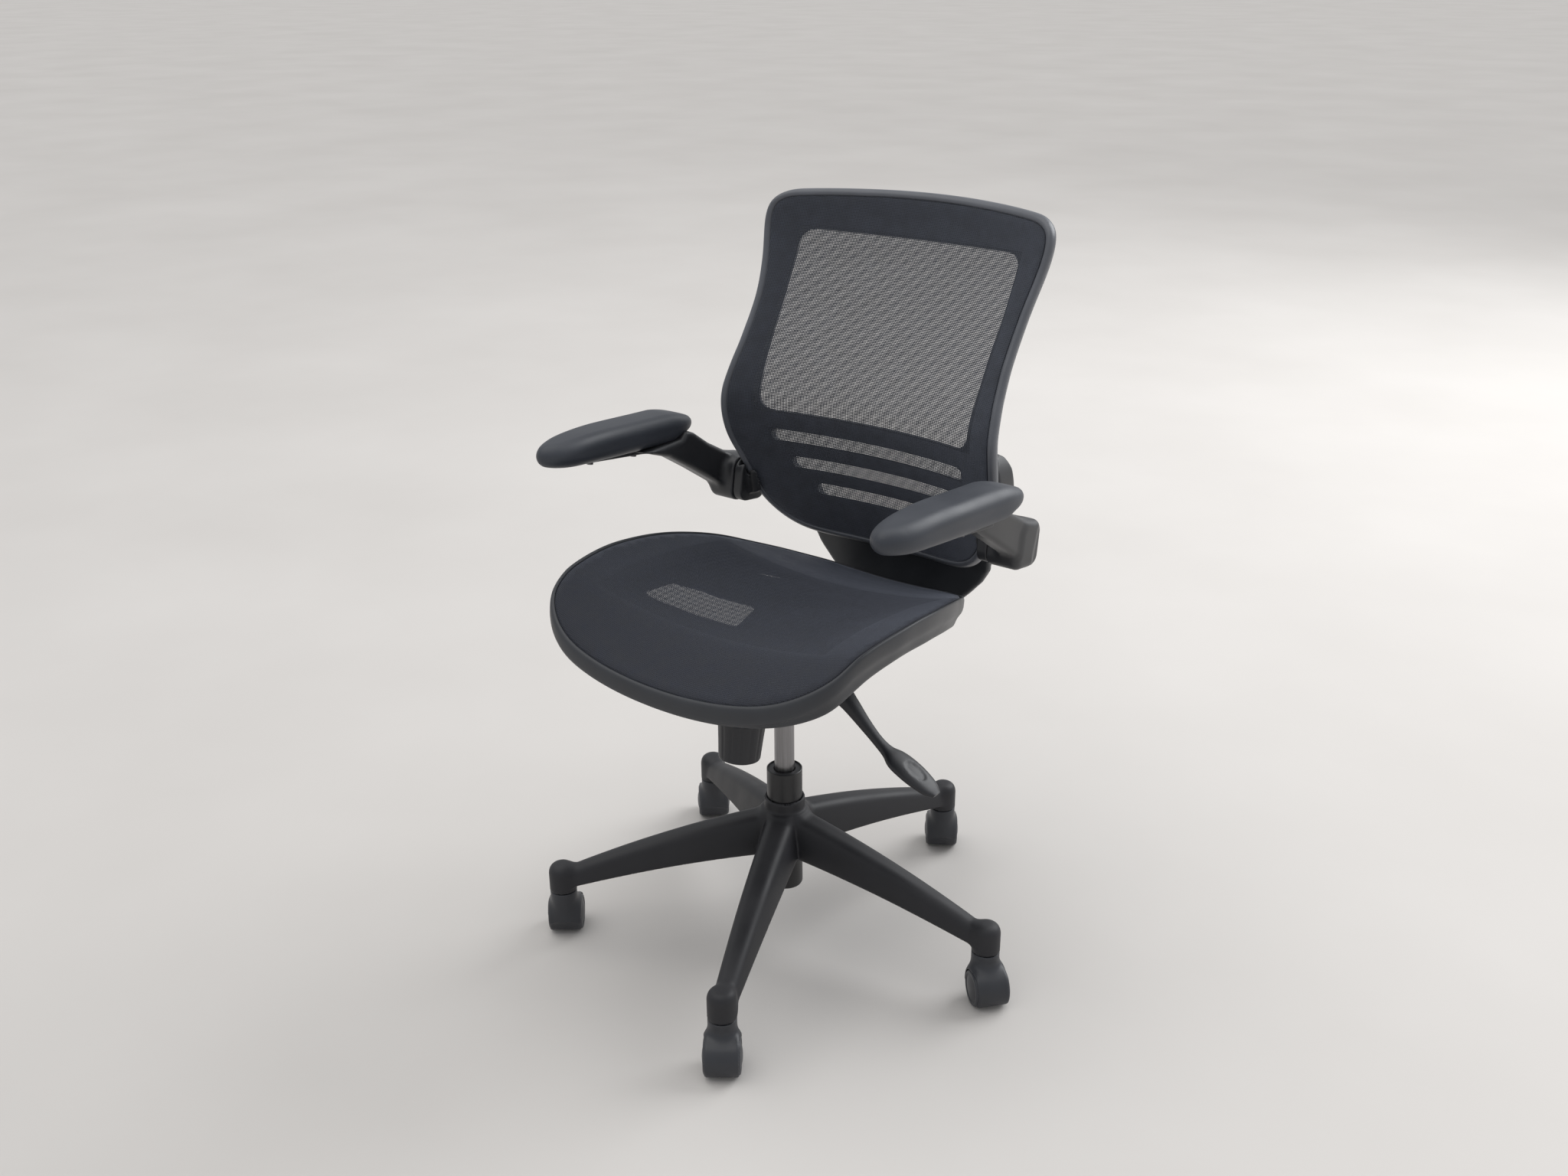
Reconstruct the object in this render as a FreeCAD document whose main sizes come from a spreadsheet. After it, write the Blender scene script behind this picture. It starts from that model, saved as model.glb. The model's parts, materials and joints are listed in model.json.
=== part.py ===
import FreeCAD, Part
import os, math
import Sketcher

V = FreeCAD.Vector
Placement, Rotation = FreeCAD.Placement, FreeCAD.Rotation
doc = FreeCAD.newDocument("task_chair")

# ---------------------------------------------------------------------------
# Driving dimensions, millimetres and degrees.  Origin: on the floor under the
# column axis, +Z up, the chair faces -Y, the sitter's left hand is +X.
# ---------------------------------------------------------------------------
TABLE = [
    ("leg_radius", 320), ("leg_turn", 220.6),
    ("hub_rad", 31), ("hub_top", 204), ("hub_low", 122), ("collar_rad", 28.5),
    ("leg_root_x", 12), ("leg_root_low", 137), ("leg_root_top", 196), ("leg_root_wide", 60), ("leg_root_ridge", 34),
    ("leg_mid_x", 165), ("leg_mid_low", 116), ("leg_mid_top", 159), ("leg_mid_wide", 49), ("leg_mid_ridge", 28),
    ("leg_tip_x", 306), ("leg_tip_low", 84), ("leg_tip_top", 111), ("leg_tip_wide", 36), ("leg_tip_ridge", 22),
    ("leg_wall", 4.5), ("socket_rad", 19), ("socket_low", 76), ("socket_top", 116), ("socket_side", 100),
    ("tube_rad", 25), ("tube_bore", 23), ("tube_low", 74), ("tube_top", 260), ("tube_floor", 80), ("tube_floor_up", 83),
    ("fit", 0.05), ("bush_low", 150), ("bush_top", 258.5),
    ("rod_rad", 5), ("rod_low", 75), ("rod_top", 240), ("shoulder_rad", 8),
    ("cyl_rad", 14), ("cyl_bore", 12), ("cyl_low", 203), ("cyl_top", 403), ("cyl_taper", 13.3),
    ("bush_seat_low", 362), ("bush_seat_top", 401), ("bush_seat_rad", 23),
    ("button_rad", 4), ("button_top", 409.4), ("button_low", 398),
    ("house_half", 62), ("house_wall", 2.5), ("house_floor", 392),
    ("pivot_y", -45), ("pivot_z", 415), ("lean", 8), ("axle_rad", 6), ("axle_half", 73),
    ("plate_half", 100), ("plate_low", 444), ("plate_thick", 3), ("plate_front", -135), ("plate_rear", 130),
    ("ear_in", 66), ("ear_thick", 4),
    ("knob_y", -86), ("knob_low", 312), ("knob_top", 369), ("knob_rad_low", 28.5), ("knob_rad_top", 32.5), ("knob_wall", 3.2),
    ("bolt_rad", 5), ("bolt_low", 316),
    ("lever_x", 52), ("lever_z", 414), ("lever_rad", 4),
    ("seat_crown", 0.000588), ("rim_deep", 44), ("rim_front_drop", 12), ("rim_wide", 24), ("pan_mid", 452.1), ("pan_curve", 0.0014), ("pan_thick", 5),
    ("mesh_thick", 2), ("back_crown", 0.001157), ("back_thick", 20),
    ("arm_y", 166), ("arm_z", 624), ("arm_hub_rad", 33), ("arm_pin_rad", 6),
    ("pad_front_x", 265), ("pad_rear_x", 271), ("pad_low", 681), ("pad_top", 728), ("pad_front", -214), ("pad_rear", 82),
    ("caster_trail", 14), ("wheel_rad", 25), ("wheel_in", 3), ("wheel_out", 24), ("caster_axle_rad", 3),
    ("stem_rad", 5.5), ("hood_rad", 28.4), ("hood_half", 23.4), ("neck_rad", 20), ("neck_top", 71.8),
]
dims = doc.addObject("Spreadsheet::Sheet", "dims")
for i, (alias, value) in enumerate(TABLE):
    dims.set("A%d" % (i + 1), alias)
    dims.set("B%d" % (i + 1), repr(value))
    dims.setAlias("B%d" % (i + 1), alias)
doc.recompute()


class Q:
    """A size with its value and the cell expression that gives it."""
    def __init__(self, text, value):
        self.text, self.value = text, float(value)

    def join(self, other, sign):
        o = q(other)
        v = {"+": self.value + o.value, "-": self.value - o.value, "*": self.value * o.value}[sign]
        return Q("(%s %s %s)" % (self.text, sign, o.text), v)

    def __add__(self, o): return self.join(o, "+")
    def __radd__(self, o): return q(o).join(self, "+")
    def __sub__(self, o): return self.join(o, "-")
    def __rsub__(self, o): return q(o).join(self, "-")
    def __mul__(self, o): return self.join(o, "*")
    def __rmul__(self, o): return q(o).join(self, "*")
    def __neg__(self): return Q("(0 - %s)" % self.text, -self.value)


def q(o):
    return o if isinstance(o, Q) else Q(repr(float(o)), float(o))


def d(alias):
    return Q("dims." + alias, float(dims.get(alias)))


def n(alias):
    return float(dims.get(alias))


OUT = []          # (object, node name)


def keep(obj, name):
    obj.Label = name
    OUT.append((obj, name))
    return obj


LEAN = Placement(V(0, 0, 0), Rotation(V(-1, 0, 0), n("lean")), V(0, n("pivot_y"), n("pivot_z")))


# --- small helpers ---------------------------------------------------------
def body(name):
    return doc.addObject("PartDesign::Body", name)


def plane_of(b, role):
    return [f for f in b.Origin.OriginFeatures if f.Role == role][0]


def sketch(b, role, pts, offset=None):
    """Closed polygon, each corner held at its own two sizes."""
    sk = b.newObject("Sketcher::SketchObject", "profile")
    sk.AttachmentSupport = [(plane_of(b, role), "")]
    sk.MapMode = "FlatFace"
    if offset is not None:
        sk.AttachmentOffset = offset
    pts = [(q(x), q(y)) for x, y in pts]
    m = len(pts)
    for i in range(m):
        a, c = pts[i], pts[(i + 1) % m]
        sk.addGeometry(Part.LineSegment(V(a[0].value, a[1].value, 0), V(c[0].value, c[1].value, 0)), False)
    for i in range(m):
        sk.addConstraint(Sketcher.Constraint("Coincident", i, 2, (i + 1) % m, 1))
    for i, (x, y) in enumerate(pts):
        for kind, val, axis in (("DistanceX", x, -2), ("DistanceY", y, -1)):
            if abs(val.value) < 1e-9:
                sk.addConstraint(Sketcher.Constraint("PointOnObject", i, 1, axis))
            else:
                c = sk.addConstraint(Sketcher.Constraint(kind, -1, 1, i, 1, val.value))
                if "dims" in val.text:
                    sk.setExpression("Constraints[%d]" % c, val.text)
    return sk


def circle_sketch(b, role, cx, cy, r, offset=None):
    sk = b.newObject("Sketcher::SketchObject", "round")
    sk.AttachmentSupport = [(plane_of(b, role), "")]
    sk.MapMode = "FlatFace"
    if offset is not None:
        sk.AttachmentOffset = offset
    cx, cy, r = q(cx), q(cy), q(r)
    sk.addGeometry(Part.Circle(V(cx.value, cy.value, 0), V(0, 0, 1), r.value), False)
    c = sk.addConstraint(Sketcher.Constraint("Radius", 0, r.value))
    if "dims" in r.text:
        sk.setExpression("Constraints[%d]" % c, r.text)
    for kind, val, axis in (("DistanceX", cx, -2), ("DistanceY", cy, -1)):
        if abs(val.value) < 1e-9:
            sk.addConstraint(Sketcher.Constraint("PointOnObject", 0, 3, axis))
        else:
            c = sk.addConstraint(Sketcher.Constraint(kind, -1, 1, 0, 3, val.value))
            if "dims" in val.text:
                sk.setExpression("Constraints[%d]" % c, val.text)
    return sk


def turn(b, sk, kind="PartDesign::Revolution"):
    f = b.newObject(kind, "turned")
    f.Profile = sk
    f.ReferenceAxis = (sk, ["V_Axis"])
    f.Angle = 360
    return f


def raise_(b, sk, length, both=True, kind="PartDesign::Pad", reverse=False):
    f = b.newObject(kind, "raised")
    f.Profile = sk
    length = q(length)
    f.Length = length.value
    if "dims" in length.text:
        f.setExpression("Length", length.text)
    if both:
        if "SideType" in f.PropertiesList:
            f.SideType = "Symmetric"
        else:
            f.Midplane = True
    f.Reversed = reverse
    return f


def turned(name, pts, place=None):
    """A turned piece: profile of (radius, height) about Z."""
    b = body(name)
    turn(b, sketch(b, "XZ_Plane", pts))
    if place is not None:
        b.Placement = place
    return keep(b, name)


def cyl(radius, height, place, rbind=None, hbind=None):
    c = doc.addObject("Part::Cylinder", "rod")
    c.Radius, c.Height = q(radius).value, q(height).value
    if "dims" in q(radius).text:
        c.setExpression("Radius", q(radius).text)
    if "dims" in q(height).text:
        c.setExpression("Height", q(height).text)
    c.Placement = place
    return c


def shape_node(name, shape, place=None):
    f = doc.addObject("Part::Feature", name)
    f.Shape = shape
    if place is not None:
        f.Placement = place
    return keep(f, name)


def along(axis, at):
    """Place a Z-built piece along X or Y at a point."""
    r = {"x": Rotation(V(0, 1, 0), 90), "-x": Rotation(V(0, 1, 0), -90), "y": Rotation(V(1, 0, 0), -90), "z": Rotation()}[axis]
    return Placement(V(*at), r)


def smooth(xs, ys):
    """Monotone-friendly cubic through the points, as a function."""
    m = len(xs)
    h = [xs[i + 1] - xs[i] for i in range(m - 1)]
    s = [(ys[i + 1] - ys[i]) / h[i] for i in range(m - 1)]
    t = [s[0]] + [0.5 * (s[i - 1] + s[i]) for i in range(1, m - 1)] + [s[-1]]

    def f(x):
        i = 0
        while i < m - 2 and x > xs[i + 1]:
            i += 1
        u = (x - xs[i]) / h[i]
        return ((2 * u**3 - 3 * u**2 + 1) * ys[i] + (u**3 - 2 * u**2 + u) * h[i] * t[i]
                + (-2 * u**3 + 3 * u**2) * ys[i + 1] + (u**3 - u**2) * h[i] * t[i + 1])
    return f


def loop_inset(pts, dist):
    """Move a closed outline (anticlockwise) inwards."""
    out = []
    m = len(pts)
    for i in range(m):
        ax, ay = pts[i - 1]
        bx, by = pts[(i + 1) % m]
        tx, ty = bx - ax, by - ay
        l = math.hypot(tx, ty)
        out.append((pts[i][0] - ty / l * dist, pts[i][1] + tx / l * dist))
    return out


def loop_wire(pts3):
    bs = Part.BSplineCurve()
    bs.interpolate(Points=[V(*p) for p in pts3], PeriodicFlag=True)
    return Part.Wire([bs.toShape()])


def patch(fun, us, vs):
    s = Part.BSplineSurface()
    s.interpolate([[V(*fun(u, v)) for v in vs] for u in us])
    return s.toShape()


def lin(a, b, m):
    return [a + (b - a) * i / (m - 1) for i in range(m)]


def solid_of(shape):
    if shape.ShapeType == "Solid":
        return shape
    return shape.Solids[0] if len(shape.Solids) == 1 else shape


# ---------------------------------------------------------------------------
# Five-legged base: hub, hollow legs open underneath, caster sockets.
# ---------------------------------------------------------------------------
b = body("base_star")
turn(b, sketch(b, "XZ_Plane", [
    (d("tube_rad") + d("fit"), d("hub_low")), (d("hub_rad"), d("hub_low")), (d("hub_rad"), d("hub_top") - 10),
    (d("collar_rad"), d("hub_top") - 6), (d("collar_rad"), d("hub_top")), (d("tube_rad") + d("fit"), d("hub_top"))]))


def leg_section(tag, grow_w, grow_top, low):
    x, zl, zt = d("leg_%s_x" % tag), d("leg_%s_low" % tag), d("leg_%s_top" % tag)
    w, r = d("leg_%s_wide" % tag), d("leg_%s_ridge" % tag)
    sk = sketch(b, "YZ_Plane", [
        (0.5 * w - grow_w, zl - low), (0.5 * w - grow_w, zl + 0.45 * (zt - zl) - grow_top * 0.5),
        (0.5 * r - 0.7 * q(grow_w), zt - grow_top), (-(0.5 * r - 0.7 * q(grow_w)), zt - grow_top),
        (-(0.5 * w - grow_w), zl + 0.45 * (zt - zl) - grow_top * 0.5), (-(0.5 * w - grow_w), zl - low)])
    sk.setExpression("AttachmentOffset.Base.z", x.text)
    return sk


secs = [leg_section(t, q(0), q(0), q(0)) for t in ("root", "mid", "tip")]
leg = b.newObject("PartDesign::AdditiveLoft", "leg")
leg.Profile = secs[0]
leg.Sections = secs[1:]
sock = sketch(b, "XZ_Plane", [
    (0, d("socket_low")), (d("socket_rad") - 1.5, d("socket_low")), (d("socket_rad"), d("socket_low") + 2),
    (d("socket_rad"), d("socket_side")), (d("socket_rad") - 2.2, d("socket_side") + 8),
    (d("socket_rad") - 7.5, d("socket_top") - 2.6), (d("socket_rad") - 13, d("socket_top")), (0, d("socket_top"))])
sock.setExpression("AttachmentOffset.Base.x", "dims.leg_radius")
cup = turn(b, sock)
doc.recompute()
pat = b.newObject("PartDesign::PolarPattern", "legs")
pat.Originals = [leg, cup]
pat.Axis = ([f for f in b.Origin.OriginFeatures if f.Role == "Z_Axis"][0], [""])
pat.Angle = 360
pat.Occurrences = 5
b.Tip = pat
doc.recompute()
# the legs' hollow, the stem bores and the hub bore
inner = []
for t, more in (("root", 7), ("mid", 0), ("tip", 0)):
    inner.append(leg_section(t, d("leg_wall") + 0.15 * q(more), d("leg_wall") + more, q(12)))
inner[0].setExpression("AttachmentOffset.Base.z", "dims.hub_rad + 6")
inner[2].setExpression("AttachmentOffset.Base.z", "dims.leg_tip_x - 12")
hol = b.newObject("PartDesign::SubtractiveLoft", "hollow")
hol.Profile = inner[0]
hol.Sections = inner[1:]
bore = sketch(b, "XZ_Plane", [(0, d("socket_low") - 2), (d("stem_rad") + d("fit"), d("socket_low") - 2),
                              (d("stem_rad") + d("fit"), 106), (0, 106)])
bore.setExpression("AttachmentOffset.Base.x", "dims.leg_radius")
stemhole = turn(b, bore, "PartDesign::Groove")
doc.recompute()
pat2 = b.newObject("PartDesign::PolarPattern", "hollows")
pat2.Originals = [hol, stemhole]
pat2.Axis = ([f for f in b.Origin.OriginFeatures if f.Role == "Z_Axis"][0], [""])
pat2.Angle = 360
pat2.Occurrences = 5
b.Tip = pat2
doc.recompute()
hubcut = turn(b, sketch(b, "XZ_Plane", [(0, 40), (d("tube_rad") + d("fit"), 40), (d("tube_rad") + d("fit"), 300), (0, 300)]),
              "PartDesign::Groove")
b.Tip = hubcut
b.Placement = Placement(V(0, 0, 0), Rotation(V(0, 0, 1), n("leg_turn")))
keep(b, "base_star")

# ---------------------------------------------------------------------------
# Column: outer tube, guide bush, thrust bearing, rod, piston and cylinder.
# ---------------------------------------------------------------------------
turned("column_outer_tube", [
    (d("rod_rad") + 1, d("tube_floor")), (d("tube_bore"), d("tube_floor")), (d("tube_bore"), d("tube_low")),
    (d("tube_rad") - 0.8, d("tube_low")), (d("tube_rad"), d("tube_low") + 2), (d("tube_rad"), d("tube_top") - 0.8),
    (d("tube_rad") - 0.8, d("tube_top")), (d("tube_bore"), d("tube_top")), (d("tube_bore"), d("tube_floor_up")),
    (d("rod_rad") + 1, d("tube_floor_up"))])
turned("column_guide_bush", [
    (d("cyl_rad") + d("fit"), d("bush_low")), (d("tube_bore") - d("fit"), d("bush_low")),
    (d("tube_bore") - d("fit"), d("bush_top")), (d("cyl_rad") + 1.6, d("bush_top")), (d("cyl_rad") + d("fit"), d("bush_top") - 2)])
turned("thrust_bearing", [
    (d("rod_rad") + 0.6, d("tube_floor_up") + 0.05), (14, d("tube_floor_up") + 0.05), (14, d("tube_floor_up") + 2.6),
    (12.4, d("tube_floor_up") + 3.2), (12.4, d("tube_floor_up") + 5.4), (14, d("tube_floor_up") + 6.0),
    (14, d("tube_floor_up") + 8.6), (d("rod_rad") + 0.6, d("tube_floor_up") + 8.6)])
turned("rod_clip", [
    (d("rod_rad") + 0.05, d("tube_floor") - 2.2), (9, d("tube_floor") - 2.2), (9, d("tube_floor") - 0.35),
    (d("rod_rad") + 0.05, d("tube_floor") - 0.35)])
turned("piston_rod", [
    (0, d("rod_low")), (d("rod_rad") - 1, d("rod_low")), (d("rod_rad"), d("rod_low") + 1),
    (d("rod_rad"), d("tube_floor_up") + 8.9), (d("shoulder_rad"), d("tube_floor_up") + 8.9),
    (d("shoulder_rad"), d("tube_floor_up") + 12.5), (d("rod_rad"), d("tube_floor_up") + 14), (d("rod_rad"), d("rod_top")),
    (0, d("rod_top"))])
turned("gas_piston", [
    (d("rod_rad") + 0.02, d("rod_top") - 15), (d("cyl_bore") - 0.06, d("rod_top") - 15), (d("cyl_bore") - 0.06, d("rod_top") - 10),
    (d("cyl_bore") - 1.2, d("rod_top") - 9), (d("cyl_bore") - 1.2, d("rod_top") - 6), (d("cyl_bore") - 0.06, d("rod_top") - 5),
    (d("cyl_bore") - 0.06, d("rod_top") - 0.5), (d("rod_rad") + 0.02, d("rod_top") - 0.5)])
turned("gas_cylinder", [
    (d("rod_rad") + d("fit"), d("cyl_low")), (d("cyl_rad") - 1, d("cyl_low")), (d("cyl_rad"), d("cyl_low") + 1),
    (d("cyl_rad"), d("bush_seat_low")), (d("cyl_taper"), d("cyl_top") - 1), (d("cyl_taper") - 1, d("cyl_top")),
    (d("button_rad") + d("fit"), d("cyl_top")), (d("button_rad") + d("fit"), d("cyl_top") - 6), (d("cyl_bore"), d("cyl_top") - 6),
    (d("cyl_bore"), d("cyl_low") + 12), (d("rod_rad") + d("fit"), d("cyl_low") + 12)])
turned("taper_bush", [
    (d("cyl_rad") + d("fit"), d("bush_seat_low")), (d("bush_seat_rad") - 2, d("bush_seat_low")), (d("bush_seat_rad"), d("bush_seat_low") + 3),
    (d("bush_seat_rad"), d("bush_seat_top")), (d("cyl_taper") + 0.12, d("bush_seat_top"))])
turned("valve_button", [
    (0, d("button_low")), (d("button_rad"), d("button_low")), (d("button_rad"), d("button_top") - 1),
    (d("button_rad") - 1, d("button_top")), (0, d("button_top"))])

# ---------------------------------------------------------------------------
# Tilt housing: pressed tray that carries the taper bush, the tilt axle and
# the lever's pin.
# ---------------------------------------------------------------------------
b = body("mechanism_housing")
hz = d("house_floor")
raise_(b, sketch(b, "YZ_Plane", [(-118, hz), (54, hz), (58, hz + 4), (58, 409), (-20, 432), (-40, 436), (-122, 436), (-124, hz + 6)]),
       2 * d("house_half"))
raise_(b, sketch(b, "YZ_Plane", [(-117, hz + d("house_wall")), (53, hz + d("house_wall")), (55.5, hz + 5), (55.5, 450), (-121.5, 450),
                                 (-121.5, hz + 7)]), 2 * d("house_half") - 2 * d("house_wall"), kind="PartDesign::Pocket")
doc.recompute()
tabs = raise_(b, sketch(b, "XZ_Plane", [(44, hz + 1), (60.5, hz + 1), (60.5, 422), (44, 422)]), 24)
raise_(b, sketch(b, "XZ_Plane", [(42, hz + d("house_wall")), (59.4, hz + d("house_wall")), (59.4, 430), (42, 430)]), 17.6, kind="PartDesign::Pocket")
circ = circle_sketch(b, "XZ_Plane", d("lever_x"), d("lever_z"), 3.02)
raise_(b, circ, 30, kind="PartDesign::Pocket")
raise_(b, circle_sketch(b, "YZ_Plane", d("pivot_y"), d("pivot_z"), d("axle_rad") + 0.02), 200, kind="PartDesign::Pocket")
raise_(b, circle_sketch(b, "YZ_Plane", 0, d("lever_z"), 7.2, Placement(V(0, 0, 62), Rotation())), 12, kind="PartDesign::Pocket")
raise_(b, circle_sketch(b, "XY_Plane", 0, 0, d("bush_seat_rad") + 0.02, Placement(V(0, 0, 392), Rotation())), 20, kind="PartDesign::Pocket")
raise_(b, sketch(b, "XY_Plane", [(-8, -104), (8, -104), (8, -77), (-8, -77)], Placement(V(0, 0, 392), Rotation())), 20, kind="PartDesign::Pocket")
keep(b, "mechanism_housing")

keep(cyl(d("axle_rad"), 2 * d("axle_half"), along("x", (-n("axle_half"), n("pivot_y"), n("pivot_z")))), "tilt_axle")
keep(cyl(3, 23.6, along("y", (n("lever_x"), -11.8, n("lever_z")))), "lever_pin")

# lever: steel finger on its pin, with a moulded handle bent down to a paddle
f1 = cyl(d("lever_rad"), 98, along("x", (-6, 0, n("lever_z"))))
f2 = cyl(7, 15, along("y", (n("lever_x"), -7.5, n("lever_z"))))
f3 = doc.addObject("Part::MultiFuse", "finger")
f3.Shapes = [f1, f2]
f4 = cyl(3.05, 20, along("y", (n("lever_x"), -10, n("lever_z"))))
f5 = doc.addObject("Part::Cut", "height_lever")
f5.Base, f5.Tool = f3, f4
keep(f5, "height_lever")

path = [(72, 0, 414, 8, 8), (86, -1, 413, 10, 12), (100, -3, 405.5, 11.5, 14.5), (116, -5, 394.5, 10, 12), (141, -7, 373.5, 7.4, 8.8), (164, -8, 355, 6.4, 7.8), (178, -8.5, 346, 6.8, 10.5),
        (190, -9, 340, 7.6, 18), (210, -9, 330.5, 8, 21), (231, -9, 320, 6.8, 19.5), (246, -9, 312, 5, 15), (254.5, -9, 307.5, 2.6, 8)]
wires = []
for i, (x, yo, z, hz_, hw) in enumerate(path):
    a, c = path[max(i - 1, 0)], path[min(i + 1, len(path) - 1)]
    t = V(c[0] - a[0], 0, c[2] - a[2]).normalize()
    up = V(0, 1, 0).cross(t) * -1
    pts = [V(x, yo, z) + V(0, 1, 0) * (hw * math.cos(k * math.pi / 8)) + up * (hz_ * math.sin(k * math.pi / 8)) for k in range(16)]
    bs = Part.BSplineCurve()
    bs.interpolate(Points=pts, PeriodicFlag=True)
    wires.append(Part.Wire([bs.toShape()]))
handle = Part.makeLoft(wires, True, False)
handle = handle.cut(Part.makeCylinder(n("lever_rad") + 0.02, 30.1, V(62, 0, n("lever_z")), V(1, 0, 0)))
shape_node("lever_paddle", solid_of(handle))

# ---------------------------------------------------------------------------
# Tilting upper part, modelled upright and leaned back about the tilt axle.
# ---------------------------------------------------------------------------
b = body("seat_plate")
raise_(b, sketch(b, "XY_Plane", [(-d("plate_half"), d("plate_front")), (d("plate_half"), d("plate_front")), (d("plate_half"), d("plate_rear")),
                                 (-d("plate_half"), d("plate_rear"))], Placement(V(0, 0, n("plate_low")), Rotation())), d("plate_thick"), both=False)
for s in (1, -1):
    off = Placement(V(0, 0, s * (n("ear_in") + n("ear_thick") / 2)), Rotation())
    raise_(b, sketch(b, "YZ_Plane", [(-66, 446), (-66, 420), (-58, 402), (-32, 402), (-24, 420), (-24, 446)], off), d("ear_thick"))
doc.recompute()
raise_(b, circle_sketch(b, "YZ_Plane", d("pivot_y"), d("pivot_z"), d("axle_rad") + d("fit")), 200, kind="PartDesign::Pocket")
raise_(b, circle_sketch(b, "XY_Plane", 0, d("knob_y"), d("bolt_rad") + 0.03, Placement(V(0, 0, 444), Rotation())), 20, kind="PartDesign::Pocket")
SCREW = [(70, -95), (-70, -95), (70, 78), (-70, 78)]
for x, y in SCREW:
    raise_(b, circle_sketch(b, "XY_Plane", x, y, 3.1, Placement(V(0, 0, 444), Rotation())), 20, kind="PartDesign::Pocket")
REAR = [(36, 82), (-36, 82), (36, 112), (-36, 112)]
for x, y in REAR:
    raise_(b, circle_sketch(b, "XY_Plane", x, y, 3.1, Placement(V(0, 0, 444), Rotation())), 20, kind="PartDesign::Pocket")
b.Placement = LEAN
keep(b, "seat_plate")

turned("tension_bolt", [
    (0, d("bolt_low")), (d("bolt_rad") - 1, d("bolt_low")), (d("bolt_rad"), d("bolt_low") + 1),
    (d("bolt_rad"), d("plate_low") + d("plate_thick") + 0.03), (8.5, d("plate_low") + d("plate_thick") + 0.03),
    (8.5, d("plate_low") + d("plate_thick") + 3.5), (0, d("plate_low") + d("plate_thick") + 3.5)], LEAN.multiply(Placement(V(0, n("knob_y"), 0), Rotation())))
turned("tension_knob", [
    (d("bolt_rad") + d("fit"), d("knob_low")), (d("knob_rad_low") - 2, d("knob_low")), (d("knob_rad_low"), d("knob_low") + 2),
    (d("knob_rad_top"), d("knob_top") - 1.5), (d("knob_rad_top") - 1.2, d("knob_top")), (d("knob_rad_top") - d("knob_wall"), d("knob_top")),
    (d("knob_rad_low") - d("knob_wall"), d("knob_low") + 9), (d("bolt_rad") + d("fit"), d("knob_low") + 9)],
    LEAN.multiply(Placement(V(0, n("knob_y"), 0), Rotation())))
# spring between the knob's floor and the housing
helix = Part.makeHelix(11, 54, 16.5)
prof = Part.Wire([Part.makeCircle(2.1, V(16.5, 0, 0), V(0, 1, 0))])
coil = Part.Wire(helix).makePipeShell([prof], True, True)
shape_node("tilt_spring", solid_of(coil), LEAN.multiply(Placement(V(0, n("knob_y"), 324), Rotation())))

# --- seat: moulded frame with rim, pan and windows -------------------------
HALF = [(60, -271), (120, -267), (170, -258), (207, -241.5), (231, -217), (238, -192), (242, -150), (244, -100), (241.5, -60), (237.4, -20), (230, 20),
        (219.4, 61.5), (205, 103), (186, 145), (163, 187), (137, 225), (108, 249), (60, 260)]
OUTLINE = [(0, -272)] + HALF + [(0, 262)] + [(-x, y) for x, y in reversed(HALF)]
ZC = smooth([-300, -272, -258, -242, -217, -192, -180, -100, 0, 60, 103, 145, 187, 229, 258, 300],
            [437, 453, 460.3, 471.3, 488, 502.7, 508, 524, 530, 528, 524, 517, 510, 502, 498, 494])


def seat_top(x, y):
    return ZC(y) + n("seat_crown") * x * x


def prism_z(loop, lo, hi):
    return Part.Face(loop_wire([(x, y, lo) for x, y in loop])).extrude(V(0, 0, hi - lo))


ys, xs = lin(-300, 300, 31), lin(-262, 262, 15)


def seat_slab(shift, deep):
    return patch(lambda x, y: (x, y, seat_top(x, y) + shift), xs, ys).extrude(V(0, 0, -deep))


outer = prism_z(OUTLINE, 380, 640)
lower = prism_z(loop_inset(OUTLINE, 9), 380, 640)


rim_more = smooth([-300, -272, -258, -242, -217, -192, -180, -150, -110, 0, 300], [-1.15, -1, -0.79, -0.33, 0.25, 0.57, 0.54, 0.225, 0, 0, 0])


def rim_depth(y):
    """The rim is deepest at the front corners and shallow along the front edge."""
    return n("rim_deep") - 2 + n("rim_front_drop") * rim_more(y)


below = patch(lambda x, y: (x, y, seat_top(x, y) - rim_depth(y)), xs, ys).extrude(V(0, 0, 120))
ring = seat_slab(0, 22).common(outer).fuse(seat_slab(-10, 60).common(lower).common(below))
ring = ring.cut(prism_z(loop_inset(OUTLINE, n("rim_wide")), 370, 650))


def step01(t):
    t = min(1.0, max(0.0, t))
    return t * t * (3 - 2 * t)


def pan_top(x, y):
    """The pan is a shallow trough that turns up into the rim at the rear and the rear sides, and stays well under the seat surface at the front corners."""
    rise = 15 * step01((y - 165) / 80.0) + 7 * step01((abs(x) - 150) / 35.0) * step01((y + 10) / 40.0)
    a, c = n("pan_mid") + n("pan_curve") * x * x + rise, seat_top(x, y) - 17
    h = min(1.0, max(0.0, 0.5 + 0.5 * (c - a) / 10.0))
    return c * (1 - h) + a * h - 10.0 * h * (1 - h)


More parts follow.
